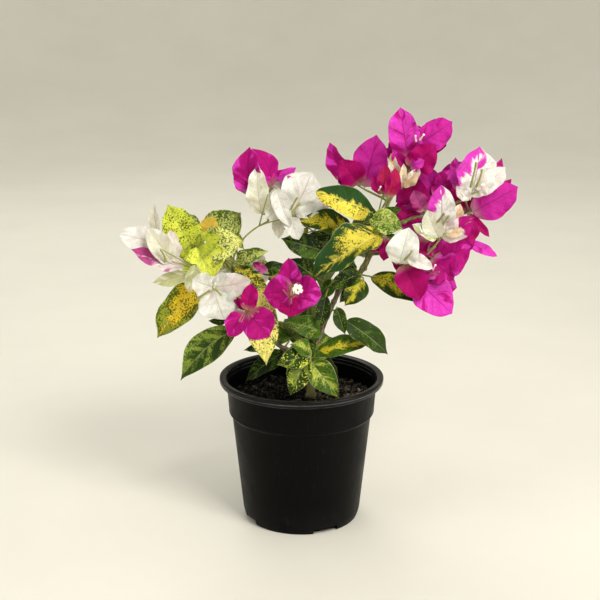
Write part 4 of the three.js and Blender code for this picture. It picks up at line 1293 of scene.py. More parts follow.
def grime_group():
    """Uneven wear: broad cloudiness crossed by fine scratches."""
    group, n, given, sink = node_group(
        "Grime", [("Place", VECTOR, None), ("Size", NUMBER, 60.0), ("Scratches", NUMBER, 0.5)],
        ["Cloud", "Scratch", "Speck"])
    cloud = n.noise(given["Place"], given["Size"], 5.0, 0.65)
    streak = n.noise(n.stretch(given["Place"], (9.0, 9.0, 0.8)), given["Size"], 3.0, 0.6)
    scratch = n.math("MULTIPLY", n.ramp(streak, 0.6, 0.72), given["Scratches"])
    speck = n.ramp(n.noise(given["Place"], 1500.0, 2.0), 0.7, 0.78)
    n.feed(sink, {"Cloud": n.ramp(cloud, 0.3, 0.7), "Scratch": scratch, "Speck": speck})
    return group


def shared(name):
    """A shader node group by name, built the first time that it is asked for."""
    makers = {"Splash": splash_group, "Flecks": fleck_group, "Veins": vein_group, "Grime": grime_group}
    return bpy.data.node_groups.get(name) or makers[name]()


def new_material(name):
    """An empty material with a Principled shader, and what adds nodes to it."""
    material = bpy.data.materials.new(name)
    material.use_nodes = True
    material.node_tree.nodes.clear()
    nodes = Nodes(material.node_tree)
    shader = nodes.add("ShaderNodeBsdfPrincipled")
    output = nodes.add("ShaderNodeOutputMaterial")
    nodes.feed(output.inputs, {0: shader.outputs[0]})
    return material, nodes, shader


def placed(nodes, name, inputs):
    """A shared group placed in a material."""
    return nodes.add("ShaderNodeGroup", inputs, node_tree=shared(name)).outputs


def blade_inputs(n):
    """What every blade's material reads: its maps, tints and habits."""
    place = n.split(n.uv("Blade"))
    read = {key: n.mark(key) for key in ("ground", "splash", "fleck", "spread")}
    read["grain"] = n.uv("Grain")
    read["across"] = n.math("MULTIPLY_ADD", place[0], 2.0, -1.0)
    read["along"] = place[1]
    read["under"] = n.mark("under", "Fac")
    read["tip"], read["amount"], read["edge"] = n.split(n.mark("habit"))
    return read


def patterns(n, read, size, gap, net):
    """The splashes and the veins of a blade."""
    on_blade = {"Grain": read["grain"], "Across": read["across"], "Along": read["along"]}
    splash = placed(n, "Splash", {**on_blade, "Spread": read["spread"], "Tip": read["tip"], "Size": size})
    return splash, placed(n, "Veins", {**on_blade, "Gap": gap, "Net": net})


def leaf_material(name, gloss):
    """Splashed leaf: ground colour, ragged splashes, flecks, pale edge and veins; paler beneath."""
    material, n, shader = new_material(name)
    read = blade_inputs(n)
    splash, veins = patterns(n, read, 1.0, 0.62, 5.0)
    cloud = n.noise(read["grain"], 2.2, 4.0)
    ragged = n.math("SUBTRACT", n.noise(read["grain"], 5.0, 3.0, 0.6), 0.5)
    dark = n.ramp(n.math("MULTIPLY_ADD", ragged, 0.12, splash["Field"]), 0.494, 0.508)
    half = n.ramp(n.math("MULTIPLY_ADD", ragged, 0.22, splash["Field"]), 0.41, 0.43)
    base = n.mix(n.math("MULTIPLY", half, 0.5), read["ground"], read["splash"])
    between = n.math("MULTIPLY", n.math("SUBTRACT", half, dark), 0.045)
    outward = n.math("MULTIPLY", n.math("SUBTRACT", n.math("ABSOLUTE", read["across"]), 0.5), 0.05)
    amount = n.math("ADD", n.math("ADD", read["amount"], between), outward)
    flecks = placed(n, "Flecks", {"Grain": read["grain"], "Amount": amount, "Size": 6.5})
    base = n.mix(dark, base, read["splash"])
    base = n.mix(n.math("MULTIPLY", flecks["Mask"], 0.85), base, read["fleck"])
    tone = n.ramp(cloud, 0.25, 0.75, 0.82, 1.16)
    tone = n.math("MULTIPLY", tone, n.math("MULTIPLY_ADD", veins["Side"], 0.12, 1.0))
    base = n.shaded(base, tone)
    uneven = n.math("ADD", n.math("ABSOLUTE", read["across"]), n.math("MULTIPLY", cloud, 0.06))
    pale = n.math("MULTIPLY", n.ramp(uneven, 0.985, 1.02), read["edge"])
    pale = n.math("MAXIMUM", pale, n.math("MULTIPLY", veins["Rib"], 0.22))
    base = n.mix(pale, base, solid("cdd39a"))
    base = n.mix(n.math("MULTIPLY", read["under"], 0.3), base, solid("a3ab6a"))
    dull = n.math("MULTIPLY_ADD", read["under"], 0.2, gloss)
    dull = n.math("MULTIPLY_ADD", n.math("SUBTRACT", cloud, 0.5), 0.3, dull)
    quilt = n.math("MULTIPLY_ADD", cloud, 0.8, n.math("MULTIPLY", veins["Height"], -0.7))
    n.feed(shader.inputs, {
        "Base Color": base, "Roughness": dull, "Normal": n.bump(quilt, 0.0006, 0.55), "IOR": 1.42,
        "Specular IOR Level": 0.22, "Subsurface Weight": 0.18, "Subsurface Radius": (0.5, 1.0, 0.2),
        "Subsurface Scale": 1.2 * MM})
    return material


def bract_material(name, glow):
    """Papery bract: two colours that run into each other, a darker net of veins and fine crinkles."""
    material, n, shader = new_material(name)
    read = blade_inputs(n)
    splash, veins = patterns(n, read, 0.9, 0.7, 3.4)
    cloud = n.noise(read["grain"], 1.6, 4.0)
    soft = n.ramp(splash["Field"], 0.44, 0.56)
    base = n.mix(soft, read["ground"], read["splash"])
    lines = n.math("MAXIMUM", n.math("MULTIPLY", veins["Side"], 0.42), n.math("MULTIPLY", veins["Net"], 0.26))
    lines = n.math("MAXIMUM", lines, n.math("MULTIPLY", veins["Rib"], 0.5))
    base = n.mix(lines, base, read["fleck"])
    tone = n.ramp(cloud, 0.25, 0.75, 0.88, 1.1)
    base = n.shaded(base, tone)
    foot = n.math("MULTIPLY", n.ramp(read["along"], 0.0, 0.22, 1.0, 0.0), 0.4)
    base = n.mix(foot, base, solid("b9b98a"))
    dull = n.math("MULTIPLY_ADD", cloud, 0.25, 0.42)
    crepe = n.noise(n.stretch(read["grain"], (3.0, 7.0, 1.0)), 1.0, 4.0, 0.6)
    relief = n.math("MULTIPLY_ADD", crepe, 0.9, n.math("MULTIPLY", veins["Height"], 0.6))
    n.feed(shader.inputs, {
        "Base Color": base, "Roughness": dull, "Normal": n.bump(relief, 0.0006, 0.6), "IOR": 1.38,
        "Specular IOR Level": 0.15, "Subsurface Weight": glow, "Subsurface Radius": (1.0, 0.45, 0.8),
        "Subsurface Scale": 1.5 * MM})
    return material


def stem_material(name, young, old, rough):
    """Bark: two colours in lengthwise streaks over a cracked skin, with pale corky dots."""
    material, n, shader = new_material(name)
    grain = n.uv("Grain")
    streak = n.noise(n.stretch(grain, (6.0, 1.0, 1.0)), 2.0, 4.0, 0.6)
    cork = n.ramp(n.noise(n.stretch(grain, (5.0, 3.0, 1.0)), 3.0, 2.0), 0.66, 0.72)
    base = n.mix(n.ramp(streak, 0.35, 0.65), (*old, 1), (*young, 1))
    base = n.mix(n.math("MULTIPLY", cork, 0.5), base, solid("b3a77e"))
    dull = n.math("MULTIPLY_ADD", streak, 0.3, rough - 0.15)
    height = n.math("MULTIPLY_ADD", cork, 0.4, streak)
    n.feed(shader.inputs, {"Base Color": base, "Roughness": dull, "Normal": n.bump(height, 0.0004, 0.6)})
    return material


def tinted_material(name, rough, specks, shine=0.5):
    """A small thing whose colour is the tint it was dealt, cloudy and specked."""
    material, n, shader = new_material(name)
    cloud = placed(n, "Grime", {"Place": n.here(), "Size": specks, "Scratches": 0.3})["Cloud"]
    base = n.shaded(n.mark("ground"), n.math("MULTIPLY_ADD", cloud, 0.5, 0.72))
    dull = n.math("MULTIPLY_ADD", cloud, 0.25, rough - 0.12)
    n.feed(shader.inputs, {"Base Color": base, "Roughness": dull, "Normal": n.bump(cloud, 0.0003, 0.5),
                           "Specular IOR Level": shine})
    return material


def plastic_material():
    """Black moulded plastic: satin, cloudy, with a little dust and fine scratches, a painted sheen over the
    lip and painted highlight lines along two of its ridges.
    """
    made = settings().pot
    material, n, shader = new_material("pot_plastic")
    place = n.here()
    grime = placed(n, "Grime", {"Place": place, "Size": 55.0, "Scratches": 0.6})
    height = n.split(place)[2]
    lip_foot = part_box("pot")[1].z - made.lip_depth
    low = n.ramp(height, 0.0, 0.03, 0.5, 0.0)
    worn = n.math("MULTIPLY", n.math("ADD", grime["Scratch"], n.math("MULTIPLY", grime["Speck"], 0.5)), 0.35)
    worn = n.math("ADD", worn, n.math("MULTIPLY", n.math("MULTIPLY", grime["Cloud"], low), 0.35))
    lip = n.ramp(height, lip_foot, lip_foot + 1 * MM)
    # the whole lip is mixed a little towards the scuff colour: painted sheen, on top of the scratches, specks
    # and dust
    worn = n.math("MULTIPLY_ADD", lip, 0.1, worn)
    # painted highlight: two thin lighter lines along ridges of the lip, broken up by the cloud
    highlighted = 0.0
    for ridge in (0.5 * MM, 3.4 * MM):
        off = n.math("ABSOLUTE", n.math("SUBTRACT", height, lip_foot + ridge))
        highlighted = n.math("ADD", highlighted, n.ramp(off, 0.1 * MM, 0.6 * MM, 1.0, 0.0))
    highlighted = n.math("MULTIPLY", highlighted, n.math("MULTIPLY_ADD", grime["Cloud"], 0.8, 0.2))
    base = n.mix(worn, (*made.plastic, 1), (*made.scuff_and_sheen, 1))
    base = n.mix(n.math("MULTIPLY", highlighted, made.highlighted), base, (*made.ridges, 1))
    dull = n.math("MULTIPLY_ADD", grime["Cloud"], 0.14, n.math("MULTIPLY_ADD", lip, -0.1, 0.36))
    skin = n.noise(place, 2600.0, 2.0)
    relief = n.math("MULTIPLY_ADD", skin, 0.5, n.math("MULTIPLY", grime["Scratch"], -0.6))
    n.feed(shader.inputs, {
        "Base Color": base, "Roughness": dull, "Normal": n.bump(relief, 0.00008, 0.6),
        "Specular IOR Level": 0.06, "Coat Weight": n.math("MULTIPLY", lip, 0.14), "Coat Roughness": 0.18})
    return material


def stage_material():
    """Plain pale floor with the faintest unevenness."""
    material, n, shader = new_material("studio_floor")
    tone = n.ramp(n.noise(n.here(), 6.0, 4.0), 0.2, 0.8, 0.97, 1.02)
    n.feed(shader.inputs, {"Base Color": n.shaded((*settings().stage.floor, 1), tone), "Roughness": 0.7})
    return material


# ---------------------------------------------------------------- pot and potting mix

def rounded(corners, steps=5):
    """A profile through corners (radius, height, rounding). Each corner is replaced by the curve
    (1-t)^2 from + 2 (1-t) t corner + t^2 to, which starts and ends a rounding away along its two sides."""
    points = np.array([c[:2] for c in corners], float)
    path = [points[:1]]
    t = np.linspace(0, 1, steps)[:, None]
    for before, here, after, size in zip(points, points[1:], points[2:], [c[2] for c in corners[1:-1]]):
        reach = [min(size, 0.45 * np.linalg.norm(end - here)) for end in (before, after)]
        start, stop = (here + r * unit(end - here) for r, end in zip(reach, (before, after)))
        path.append((1 - t) ** 2 * start + 2 * (1 - t) * t * here + t ** 2 * stop)
    path.append(points[-1:])
    return np.concatenate(path)


def lathe(profile, columns):
    """A profile carried round Z: point (row, column) = (r cos, r sin, z), capped where it starts and ends."""
    turn = round_turn(columns)
    r, z = profile[:, :1], profile[:, 1:]
    points = np.stack([r * np.cos(turn), r * np.sin(turn), np.broadcast_to(z, (len(r), columns))], -1)
    return Shape(points.reshape(-1, 3), tube_faces(len(r), columns))


FOOT = 0.6923  # radius of the pot's foot as a share of its lip's


def pot_profile():
    """The pot from the middle of its underside out, up the wall, over the lip and down the inside."""
    made = settings().pot
    lip, _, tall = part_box("pot")[1]
    lip_foot = tall - made.lip_depth
    band, step, step_foot, body_foot, foot = (lip * share for share in (0.9154, 0.8862, 0.8508, 0.7231, FOOT))
    body, chamfer = tall * 0.718, tall * 0.0513
    outside = [
        (0.2 * MM, 0, 0), (foot * 0.86, 0, 0.3 * MM), (foot * 0.88, 0.5 * MM, 0.4 * MM),
        (foot * 0.95, 0.5 * MM, 0.4 * MM), (foot * 0.965, 0, 0.3 * MM), (foot, 0, 1.2 * MM),
        (body_foot, chamfer, 4 * MM), (step_foot, body + 1.6 * MM, 0.6 * MM),
        (step, body + 4 * MM, 0.8 * MM), (step + 0.25 * MM, body + 5.2 * MM, 0.3 * MM),
        (step + 0.15 * MM, body + 6 * MM, 0.3 * MM), (band - 0.2 * MM, lip_foot - 1.2 * MM, 0.4 * MM),
        (band + 0.3 * MM, lip_foot, 0.4 * MM), (lip - 2.3 * MM, lip_foot, 1.1 * MM),
        (lip - 0.75 * MM, lip_foot + 1.5 * MM, 0.4 * MM), (lip - 0.75 * MM, lip_foot + 2.0 * MM, 0.2 * MM),
        (lip - 0.25 * MM, lip_foot + 2.3 * MM, 0.25 * MM), (lip, lip_foot + 4.0 * MM, 0.6 * MM),
        (lip, tall, 1.8 * MM), (lip - 2.4 * MM, tall, 1.3 * MM),
        (lip - made.lip_width, tall - 0.9 * MM, 0.9 * MM),
    ]
    inside = [
        (band - made.wall + 0.4 * MM, lip_foot - 1.0 * MM, 0.6 * MM),
        (step - made.wall, body + 4 * MM, 0.6 * MM),
        (step_foot - made.wall, body, 0.6 * MM), (body_foot - made.wall, chamfer, 2 * MM),
        (foot - made.wall, made.floor, 0.8 * MM), (0.2 * MM, made.floor, 0),
    ]
    return rounded(outside + inside)


def notched(piece):
    """The pot with a drainage notch cut at each of four places round its foot."""
    made = settings().pot
    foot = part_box("pot")[1].x * FOOT
    depth = 10 * MM
    cutters = []
    for degrees in (25, 115, 205, 295):
        reach = np.array([made.notch_width / 2, depth / 2, made.notch_height])
        corner = np.array([[x, y, z] for x in (-1, 1) for y in (-1, 1) for z in (-1, 1)]) * reach
        corner[:, 0] *= np.where(corner[:, 2] > 0, 0.94, 1.0)
        corner[:, 1] -= foot - 4 * MM + depth / 2
        a = math.radians(degrees)
        turn = np.array([[math.cos(a), -math.sin(a), 0], [math.sin(a), math.cos(a), 0], [0, 0, 1]])
        faces = [(0, 1, 3, 2), (4, 6, 7, 5), (0, 4, 5, 1), (2, 3, 7, 6), (0, 2, 6, 4), (1, 5, 7, 3)]
        cutters.append(Shape(corner @ turn.T, faces))
    cutter = to_object("notch_cutter", joined(cutters), piece.data.materials[0], smooth=False)
    cut = piece.modifiers.new("Notches", "BOOLEAN")
    cut.object, cut.operation, cut.solver = cutter, "DIFFERENCE", "EXACT"
    bpy.context.view_layer.update()
    mesh = bpy.data.meshes.new_from_object(piece.evaluated_get(bpy.context.evaluated_depsgraph_get()))
    piece.modifiers.clear()
    piece.data = mesh
    bpy.data.objects.remove(cutter)
    return piece


def mix_height(x, y):
    """Height of the potting mix at a place: a low dome, heaved by waves of several sizes."""
    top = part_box("potting_mix")[1].z
    made = settings().mix
    r = np.hypot(x, y) / mix_edge()
    rng = np.random.default_rng(settings().seed)
    broad = ripples(x / CM, y / CM, rng, 6, 3.2)
    small = ripples(x / CM, y / CM, rng, 9, 14.0)
    dome = top - 1.6 * MM - 1.6 * MM * r ** 2
    heave = made.lumpiness * (0.55 * broad + 0.38 * small) * np.clip((1 - r) * 12, 0.2, 1)
    return dome + heave


def mix_edge():
    """Radius of the top of the potting mix."""
    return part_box("potting_mix")[1].x - 0.3 * MM


def mix_bed_shape():
    """The potting mix: rings of points from the middle out, at mix_height, then down the wall and in
    below."""
    columns, rings = 240, 90
    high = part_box("potting_mix")[1].z
    edge = mix_edge()
    turn = round_turn(columns)
    r = edge * np.linspace(0.004, 1, rings)[:, None]
    x, y = r * np.cos(turn), r * np.sin(turn)
    top = np.stack([x, y, mix_height(x, y)], -1)
    foot = settings().pot.floor + 1 * MM
    down = [(edge * 0.985, high - 8 * MM), (edge * 0.80, foot + 6 * MM), (edge * 0.74, foot),
            (0.3 * MM, foot)]
    wall = lathe(np.array(down), columns).points.reshape(len(down), columns, 3)
    points = np.concatenate([top, wall]).reshape(-1, 3)
    return Shape(points, tube_faces(rings + len(down), columns)[:, ::-1])


def lump(centre, size, rng, rows=5, columns=8, edge=0.55):
    """A small worn block: a ball whose points are pushed out by |cos|**edge and |sin|**edge, pulled about
    at random, stretched to its size and turned any way."""
    a = (np.arange(rows) + 0.5) / rows * math.pi - math.pi / 2
    a[0], a[-1] = -1.45, 1.45
    b = round_turn(columns)

    def power(value):
        return np.sign(value) * np.abs(value) ** edge

    ring = power(np.cos(a))[:, None]
    ball = np.stack([ring * power(np.cos(b)), ring * power(np.sin(b)),
                     np.broadcast_to(power(np.sin(a))[:, None], (rows, columns))], -1)
    ball = ball * (1 + rng.uniform(-0.16, 0.16, (rows, columns, 1)))
    turn = np.linalg.qr(rng.normal(size=(3, 3)))[0]
    turn[:, 0] *= np.sign(np.linalg.det(turn))
    points = (ball.reshape(-1, 3) * np.asarray(size)) @ turn.T + centre
    return Shape(points, tube_faces(rows, columns))


def tinted(shape, colour):
    """The shape with one tint on all its points."""
    shape.marks["ground"] = np.tile(np.asarray(colour, float), (len(shape.points), 1))
    return shape


def scatter(count, rng, reach=0.97):
    """Places spread evenly over the top of the potting mix."""
    r = mix_edge() * reach * np.sqrt(rng.uniform(0, 1, count))
    a = rng.uniform(0, 2 * math.pi, count)
    x, y = r * np.cos(a), r * np.sin(a)
    return np.stack([x, y, mix_height(x, y)], -1)


def bark_chip_shape():
    """Bark chips: worn blocks of many sizes, most nearly black and a few brown."""
    made, rng = settings().mix, draws(7)
    peat, bark = np.array(made.peat), np.array(made.bark)
    chips = []
    for centre in scatter(made.chips, rng):
        long = rng.gamma(2.4, 0.36) * MM + 0.35 * MM
        size = np.array([long, long * rng.uniform(0.4, 0.75), long * rng.uniform(0.2, 0.45)])
        size = np.minimum(size, 4.2 * MM)
        # more of the lighter chips lie to the right (x over 12 mm): partly lighter bark there, partly painted
        # light on that side of the mix
        bright = rng.uniform(0, 1) ** 4 * (0.4 + 3.0 * (centre[0] > 12 * MM))
        lifted = centre + np.array([0, 0, 0.25 * size[2]])
        chips.append(tinted(lump(lifted, size, rng), peat * 0.9 + (bark - peat) * bright))
    return joined(chips)


def fibre_shape():
    """Coir: thin bent threads that lie on the mix."""
    made, rng = settings().mix, draws(8)
    threads = []
    places = scatter(2 * made.fibres, rng, 0.9)
    places = places[rng.uniform(0, 1, len(places)) < 0.35 + 12 * places[:, 0]]
    for centre in places:
        long, a = rng.uniform(2, 9) * MM, rng.uniform(0, 2 * math.pi)
        t = np.linspace(-0.5, 0.5, 8)
        curl = rng.uniform(-1.2, 1.2) * long
        x = centre[0] + long * t * math.cos(a) - curl * t ** 2 * math.sin(a)
        y = centre[1] + long * t * math.sin(a) + curl * t ** 2 * math.cos(a)
        inside = np.minimum(1, 0.95 * mix_edge() / np.maximum(np.hypot(x, y), 1e-6))
        x, y = x * inside, y * inside
        z = mix_height(x, y) + rng.uniform(0.3, 0.8) * MM + 1.2 * MM * np.cos(math.pi * t) * rng.uniform(0, 1)
        thread = along_path(np.stack([x, y, z], 1), np.full(8, rng.uniform(0.12, 0.3) * MM), 6)
        threads.append(tinted(thread, np.array(made.bark) * rng.uniform(0.5, 3.2)))
    return joined(threads)


def perlite_shape():
    """Perlite: a few small white grains."""
    made, rng = settings().mix, draws(9)
    places = scatter(made.grains, rng, 0.8)
    x, y = 2 * MM, -mix_edge() * made.near_grain
    places[0] = [x, y, mix_height(x, y)]
    sizes = rng.uniform(0.5, 1.1, len(places)) * MM
    grains = [lump(place + [0, 0, 0.8 * size], [size, size * 0.9, size * 0.8], rng, edge=0.8)
              for place, size in zip(places, sizes)]
    return joined([tinted(grain, made.perlite) for grain in grains])


# ---------------------------------------------------------------- stems, stalks and flowers

def bark_relief(path, columns, rng, knots):
    """How far the bark stands out, as a share of the radius: lengthwise ridges, uneven swelling and a
    raised ring with a one-sided scar at each knot."""
    made = settings().stem
    steps, turn = run(path)[:, None], round_turn(columns)[None]
    ridges = np.sin(5 * turn + 2 * np.sin(steps / (9 * MM)) + rng.uniform(0, 6))
    ridges = 0.6 * ridges + 0.4 * np.sin(9 * turn - steps / (6 * MM))
    swelling = ripples(steps / CM, np.cos(turn) + 0 * steps, rng, 5, 6.0)
    relief = made.relief * (0.5 * ridges + 0.6 * swelling)
    for number, place in enumerate(knots):
        near = np.exp(-((steps - place) / (1.3 * MM)) ** 2)
        facing_scar = np.clip(np.cos(turn - 2.4 * number), 0, 1) ** 2
        relief = relief + near * (0.16 + 0.45 * facing_scar)
    return relief


def limb_shape(name, path, radii, index):
    """One limb with its bark's relief."""
    rng = draws(300 + index)
    gap = settings().stem.node_gap
    knots = np.arange(gap * 0.7, run(path)[-1] - gap * 0.3, gap) + rng.uniform(-2, 2) * MM
    path, radii = evenly(path, radii, 0.6 * MM)
    radii = radii * (0.62 if name.endswith("stalk") else 1.0)
    return along_path(path, radii, BARK_COLUMNS, bark_relief(path, BARK_COLUMNS, rng, knots))


def flower_shape(kind, foot, tip, rng):
    """A true flower: a slender tube that swells at its foot and again below its mouth; a bud is closed
    and short, and a star opens into five notched lobes."""
    made = settings().flower
    way, long = unit(tip - foot), np.linalg.norm(tip - foot)
    lean = rng.uniform(-1, 1, 3) * 0.08 * long
    path = bend(foot, foot + way * 0.3 * long + lean, tip - way * MM + lean, tip, 18)
    t = np.linspace(0, 1, 18)
    swell = 0.75 + 0.35 * np.exp(-((t - 0.18) / 0.16) ** 2) + 0.45 * np.exp(-((t - 0.9) / 0.14) ** 2)
    swell = swell * np.clip((1 - t) * 7 + 0.12, 0, 1)
    radii = made.tube * swell * {"bud": 0.75, "pale": 0.7, "rust": 0.75}.get(kind, 1.0)
    tube = along_path(path, radii, 10, 0.1 * np.cos(5 * round_turn(10))[None])
    skins = {"star": made.rust, "rust": made.rust, "bud": made.petal, "pale": made.petal}
    return tinted(tube, np.array(skins.get(kind, made.olive)) * rng.uniform(0.9, 1.1))


def star_shape(foot, tip):
    """An open flower: radius(turn, share) = star * share * (1 + (lobes(turn) - 1) share^2), where lobes
    is high over five lobes with a notch in each; cupped by share squared, and closed by the same sheet
    a thickness behind."""
    made = settings().flower
    out = unit(tip - foot)
    side = unit(np.cross(out, [0.0, 0.0, 1.0]))
    lift = np.cross(side, out)
    columns, share = 40, np.array([0.04, 0.16, 0.3, 0.5, 0.7, 0.86, 0.97, 1.0])[:, None]
    turn = round_turn(columns)[None]
    lobes = 0.62 + 0.38 * np.abs(np.cos(2.5 * turn)) ** 0.6 - 0.14 * np.exp(-(np.sin(2.5 * turn) / 0.25) ** 2)
    reach = made.star * share * (1 + (lobes - 1) * share ** 2)
    rise = -1.1 * MM * np.exp(-(share / 0.18) ** 2) + 0.9 * MM * share ** 2
    rise = rise + 0.25 * MM * np.cos(10 * turn) * share
    sheet = tip + (reach * np.cos(turn))[..., None] * side + (reach * np.sin(turn))[..., None] * lift
    front = sheet + rise[..., None] * out
    back = sheet + (rise - 0.35 * MM * (1 - share ** 4) - 0.02 * MM)[..., None] * out
    points = np.concatenate([front, back[::-1]]).reshape(-1, 3)
    star = Shape(points, tube_faces(2 * len(share), columns))
    heart = np.exp(-(np.concatenate([share, share[::-1]]) / 0.2) ** 2) + 0 * turn
    petal, throat = np.array(made.petal), np.array(made.throat)
    star.marks["ground"] = (petal + heart[..., None] * (throat - petal)).reshape(-1, 3)
    return star


# ---------------------------------------------------------------- operators

def lay_blades(kind, prefix, materials, other):
    """One piece for each mass that has blades of this kind, in its own finish or else the other one. A
    piece in the mass's own finish stands for the mass."""
    for (mass, held), blades in grow_foliage()[0].items():
        if held == kind:
            own = mass_slot(mass) in materials
            slot = mass_slot(mass) if own else other
            name = mass if kind == "bract" or mass.endswith(("leaf", "leaves")) else mass + "_leaves"
            piece = to_object(prefix + name, lay_out(blades), materials[slot])
            finish_piece(piece, slot, *([mass] if own else []))


class BOUGAINVILLEA_OT_pot(bpy.types.Operator):
    """Build the nursery pot with its rolled lip, step and drainage notches"""
    bl_idname = "bougainvillea.pot"
    bl_label = "Nursery pot"

    def execute(self, context):
        piece = to_object("nursery_pot", lathe(pot_profile(), POT_COLUMNS), plastic_material())
        notched(piece)
        finish_piece(piece, "pot_plastic", "pot")
        return {"FINISHED"}


class BOUGAINVILLEA_OT_mix(bpy.types.Operator):
    """Fill the pot with potting mix: the bed, bark chips, coir fibres and perlite"""
    bl_idname = "bougainvillea.mix"
    bl_label = "Potting mix"

    def execute(self, context):
        bed = tinted(mix_bed_shape(), settings().mix.peat)
        bed = to_object("mix_bed", bed, tinted_material("peat", 0.85, 900.0, 0.08))
        finish_piece(bed, "potting_mix", "potting_mix")
        loose = (("bark_chips", bark_chip_shape(), tinted_material("wet_bark", 0.38, 700.0, 0.2)),
                 ("coir_fibres", fibre_shape(), tinted_material("coir", 0.8, 900.0)),
                 ("perlite_grains", perlite_shape(), tinted_material("perlite", 0.9, 1400.0)))
        for piece in loose:
            finish_piece(to_object(*piece), "potting_mix")
        return {"FINISHED"}


class BOUGAINVILLEA_OT_stems(bpy.types.Operator):
    """Build the main stem and the boughs with their bark"""
    bl_idname = "bougainvillea.stems"
    bl_label = "Stems"

    def execute(self, context):
        made = settings().stem
        grey = stem_material("grey_bark", made.grey_bark, made.green_bark, 0.75)
        old = stem_material("old_bark", made.old_bark, made.grey_bark, 0.75)
        green = stem_material("green_bark", made.green_bark, made.old_bark, 0.65)
        young = stem_material("young_bark", made.stalk, made.green_bark, 0.6)
        looks = {"main_stem": grey, "leader": old, "left_bough": old, "leader_top": green}
        for index, (name, (path, radii)) in enumerate(limb_paths().items()):
            material = looks.get(name, green if "bough" in name else young)
            piece = to_object(name + "_bark", limb_shape(name, path, radii, index), material)
            finish_piece(piece, "stem_bark", name)
        return {"FINISHED"}


class BOUGAINVILLEA_OT_twigs(bpy.types.Operator):
    """Grow the twigs and the stalks of the leaves and flowers on from the limbs"""
    bl_idname = "bougainvillea.twigs"
    bl_label = "Twigs and stalks"

    def execute(self, context):
        made, paths = settings().stem, twig_paths()
        material = stem_material("stalk_skin", made.stalk, made.green_bark, 0.55)
        for kind, name in (("leaf", "leaf_stalks"), ("bract", "flower_stalks")):
            shapes = [along_path(path, radii, STALK_COLUMNS) for path, radii in paths[kind]]
            finish_piece(to_object(name, joined(shapes), material), "stem_bark")
        return {"FINISHED"}


class BOUGAINVILLEA_OT_leaves(bpy.types.Operator):
    """Hang the splashed leaves, mass by mass"""
    bl_idname = "bougainvillea.leaves"
    bl_label = "Leaves"

    def execute(self, context):
        materials = {"green_leaf": leaf_material("green_leaf", 0.42),
                     "lime_leaf": leaf_material("lime_leaf", 0.5)}
        lay_blades("leaf", "blades_", materials, "green_leaf")
        return {"FINISHED"}


class BOUGAINVILLEA_OT_bracts(bpy.types.Operator):
    """Set the papery bracts, mass by mass"""
    bl_idname = "bougainvillea.bracts"
    bl_label = "Bracts"

    def execute(self, context):
        materials = {"magenta_bract": bract_material("magenta_bract", 0.22),
                     "white_bract": bract_material("white_bract", 0.30)}
        lay_blades("bract", "paper_", materials, "magenta_bract")
        return {"FINISHED"}


class BOUGAINVILLEA_OT_flowers(bpy.types.Operator):
    """Stand the small true flowers in the bracts"""
    bl_idname = "bougainvillea.flowers"
    bl_label = "Flowers"

    def execute(self, context):
        tubes, stars = [], []
        for index, (mass, rows) in enumerate(FLOWERS.items()):
            rng = draws(700 + index)
            for kind, foot, tip in rows:
                foot, tip = in_box(mass, foot), in_box(mass, tip)
                tubes.append(flower_shape(kind, foot, tip, rng))
                if kind == "star":
                    stars.append(star_shape(foot, tip))
        kinds = (("flower_tubes", tubes, "tube_skin"), ("open_flowers", stars, "petal_skin"))
        for name, shapes, skin in kinds:
            finish_piece(to_object(name, joined(shapes), tinted_material(skin, 0.6, 500.0)), "white_bract")
        return {"FINISHED"}


STAGE_COLUMNS = 96

# Lamps: place from the camera's aim in metres, size in metres, power in watts, spread in degrees, colour.
LAMPS = (("key", (0.65, -1.0, 1.2), 0.6, 18.0, 180, "fffaf4"),
         ("fill", (-1.4, -0.7, 0.6), 1.0, 4.0, 180, "f8f8ff"),
         ("side", (1.25, -0.72, -0.08), 0.7, 3.0, 80, "ffffff"),
         ("back", (-0.3, 1.2, 1.2), 0.8, 7.0, 180, "fffdf8"))


def stand(name, data, aim, away):
    """A lamp or camera this far away from the aim, and turned to it."""
    thing = bpy.data.objects.new(name, data)
    thing.location = aim + away
    thing.rotation_mode = "QUATERNION"
    thing.rotation_quaternion = (-away).to_track_quat("-Z", "Y")
    bpy.context.scene.collection.objects.link(thing)
    return thing


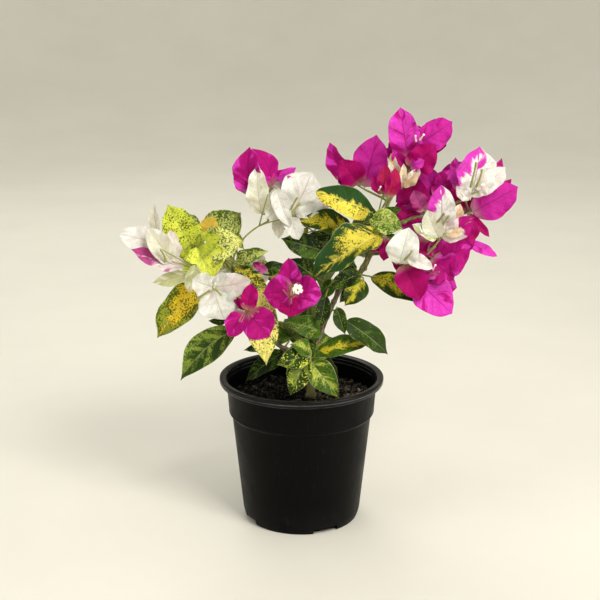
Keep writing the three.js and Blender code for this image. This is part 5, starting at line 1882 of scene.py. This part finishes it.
class BOUGAINVILLEA_OT_stage(bpy.types.Operator):
    """Lay the floor and backdrop, and set the lights and the camera"""
    bl_idname = "bougainvillea.stage"
    bl_label = "Stage"

    def execute(self, context):
        made, scene = settings().stage, context.scene
        a = np.linspace(0, math.pi / 2, 16)
        r = np.concatenate([[0.01, 1.0], 1.8 + 1.6 * np.sin(a), [3.4]])
        z = np.concatenate([[0, 0], 1.6 * (1 - np.cos(a)), [3.2]])
        faces = [grid_faces(len(r), STAGE_COLUMNS, True)[:, ::-1], cap_faces(STAGE_COLUMNS, 0)]
        bowl = Shape(lathe(np.stack([r, z], 1), STAGE_COLUMNS).points, np.concatenate(faces))
        floor = to_object("studio_floor", bowl, stage_material())

        world = bpy.data.worlds.new("studio")
        world.use_nodes = True
        background = world.node_tree.nodes["Background"].inputs
        background["Color"].default_value = solid("f3f3f0")
        background["Strength"].default_value = 0.65
        scene.world = world
        aim = Vector(made.aim)
        for name, place, size, power, spread, colour in LAMPS:
            light = bpy.data.lights.new(name, "AREA")
            light.energy, light.size, light.color = power, size, linear(colour)
            light.spread = math.radians(spread)
            stand(name, light, aim, Vector(place))

        camera = bpy.data.cameras.new("camera")
        camera.lens = made.lens
        scene.camera = stand("camera", camera, aim, toward_viewer() * made.distance)
        scene.view_settings.view_transform = "Standard"
        return {"FINISHED"}


class BOUGAINVILLEA_PT_panel(bpy.types.Panel):
    """The pieces of the bush and their sizes"""
    bl_label = "Bougainvillea"
    bl_space_type = "VIEW_3D"
    bl_region_type = "UI"
    bl_category = "Bougainvillea"

    def draw(self, context):
        held = context.scene.bougainvillea
        self.layout.prop(held, "seed")
        for operator, group in PANEL_ROWS:
            box = self.layout.box()
            box.operator("bougainvillea." + operator)
            if group:
                for key in getattr(held, group).__annotations__:
                    box.prop(getattr(held, group), key)


# Each operator's button, and the group of sizes and colours under it.
PANEL_ROWS = (("pot", "pot"), ("mix", "mix"), ("stems", "stem"), ("twigs", None), ("leaves", "leaf"),
              ("bracts", "bract"), ("flowers", "flower"), ("stage", "stage"))

CLASSES = (PotSettings, MixSettings, StemSettings, LeafSettings, BractSettings, FlowerSettings, StageSettings,
           BushSettings, BOUGAINVILLEA_OT_pot, BOUGAINVILLEA_OT_mix, BOUGAINVILLEA_OT_stems,
           BOUGAINVILLEA_OT_twigs, BOUGAINVILLEA_OT_leaves, BOUGAINVILLEA_OT_bracts,
           BOUGAINVILLEA_OT_flowers, BOUGAINVILLEA_OT_stage, BOUGAINVILLEA_PT_panel)


def register():
    for cls in CLASSES:
        bpy.utils.register_class(cls)
    bpy.types.Scene.bougainvillea = PointerProperty(type=BushSettings)


def unregister():
    del bpy.types.Scene.bougainvillea
    for cls in reversed(CLASSES):
        bpy.utils.unregister_class(cls)


def main():
    register()
    bpy.ops.bougainvillea.stage()
    bpy.ops.bougainvillea.pot()
    bpy.ops.bougainvillea.mix()
    bpy.ops.bougainvillea.stems()
    bpy.ops.bougainvillea.twigs()
    bpy.ops.bougainvillea.leaves()
    bpy.ops.bougainvillea.bracts()
    bpy.ops.bougainvillea.flowers()


if __name__ == "__main__":
    main()
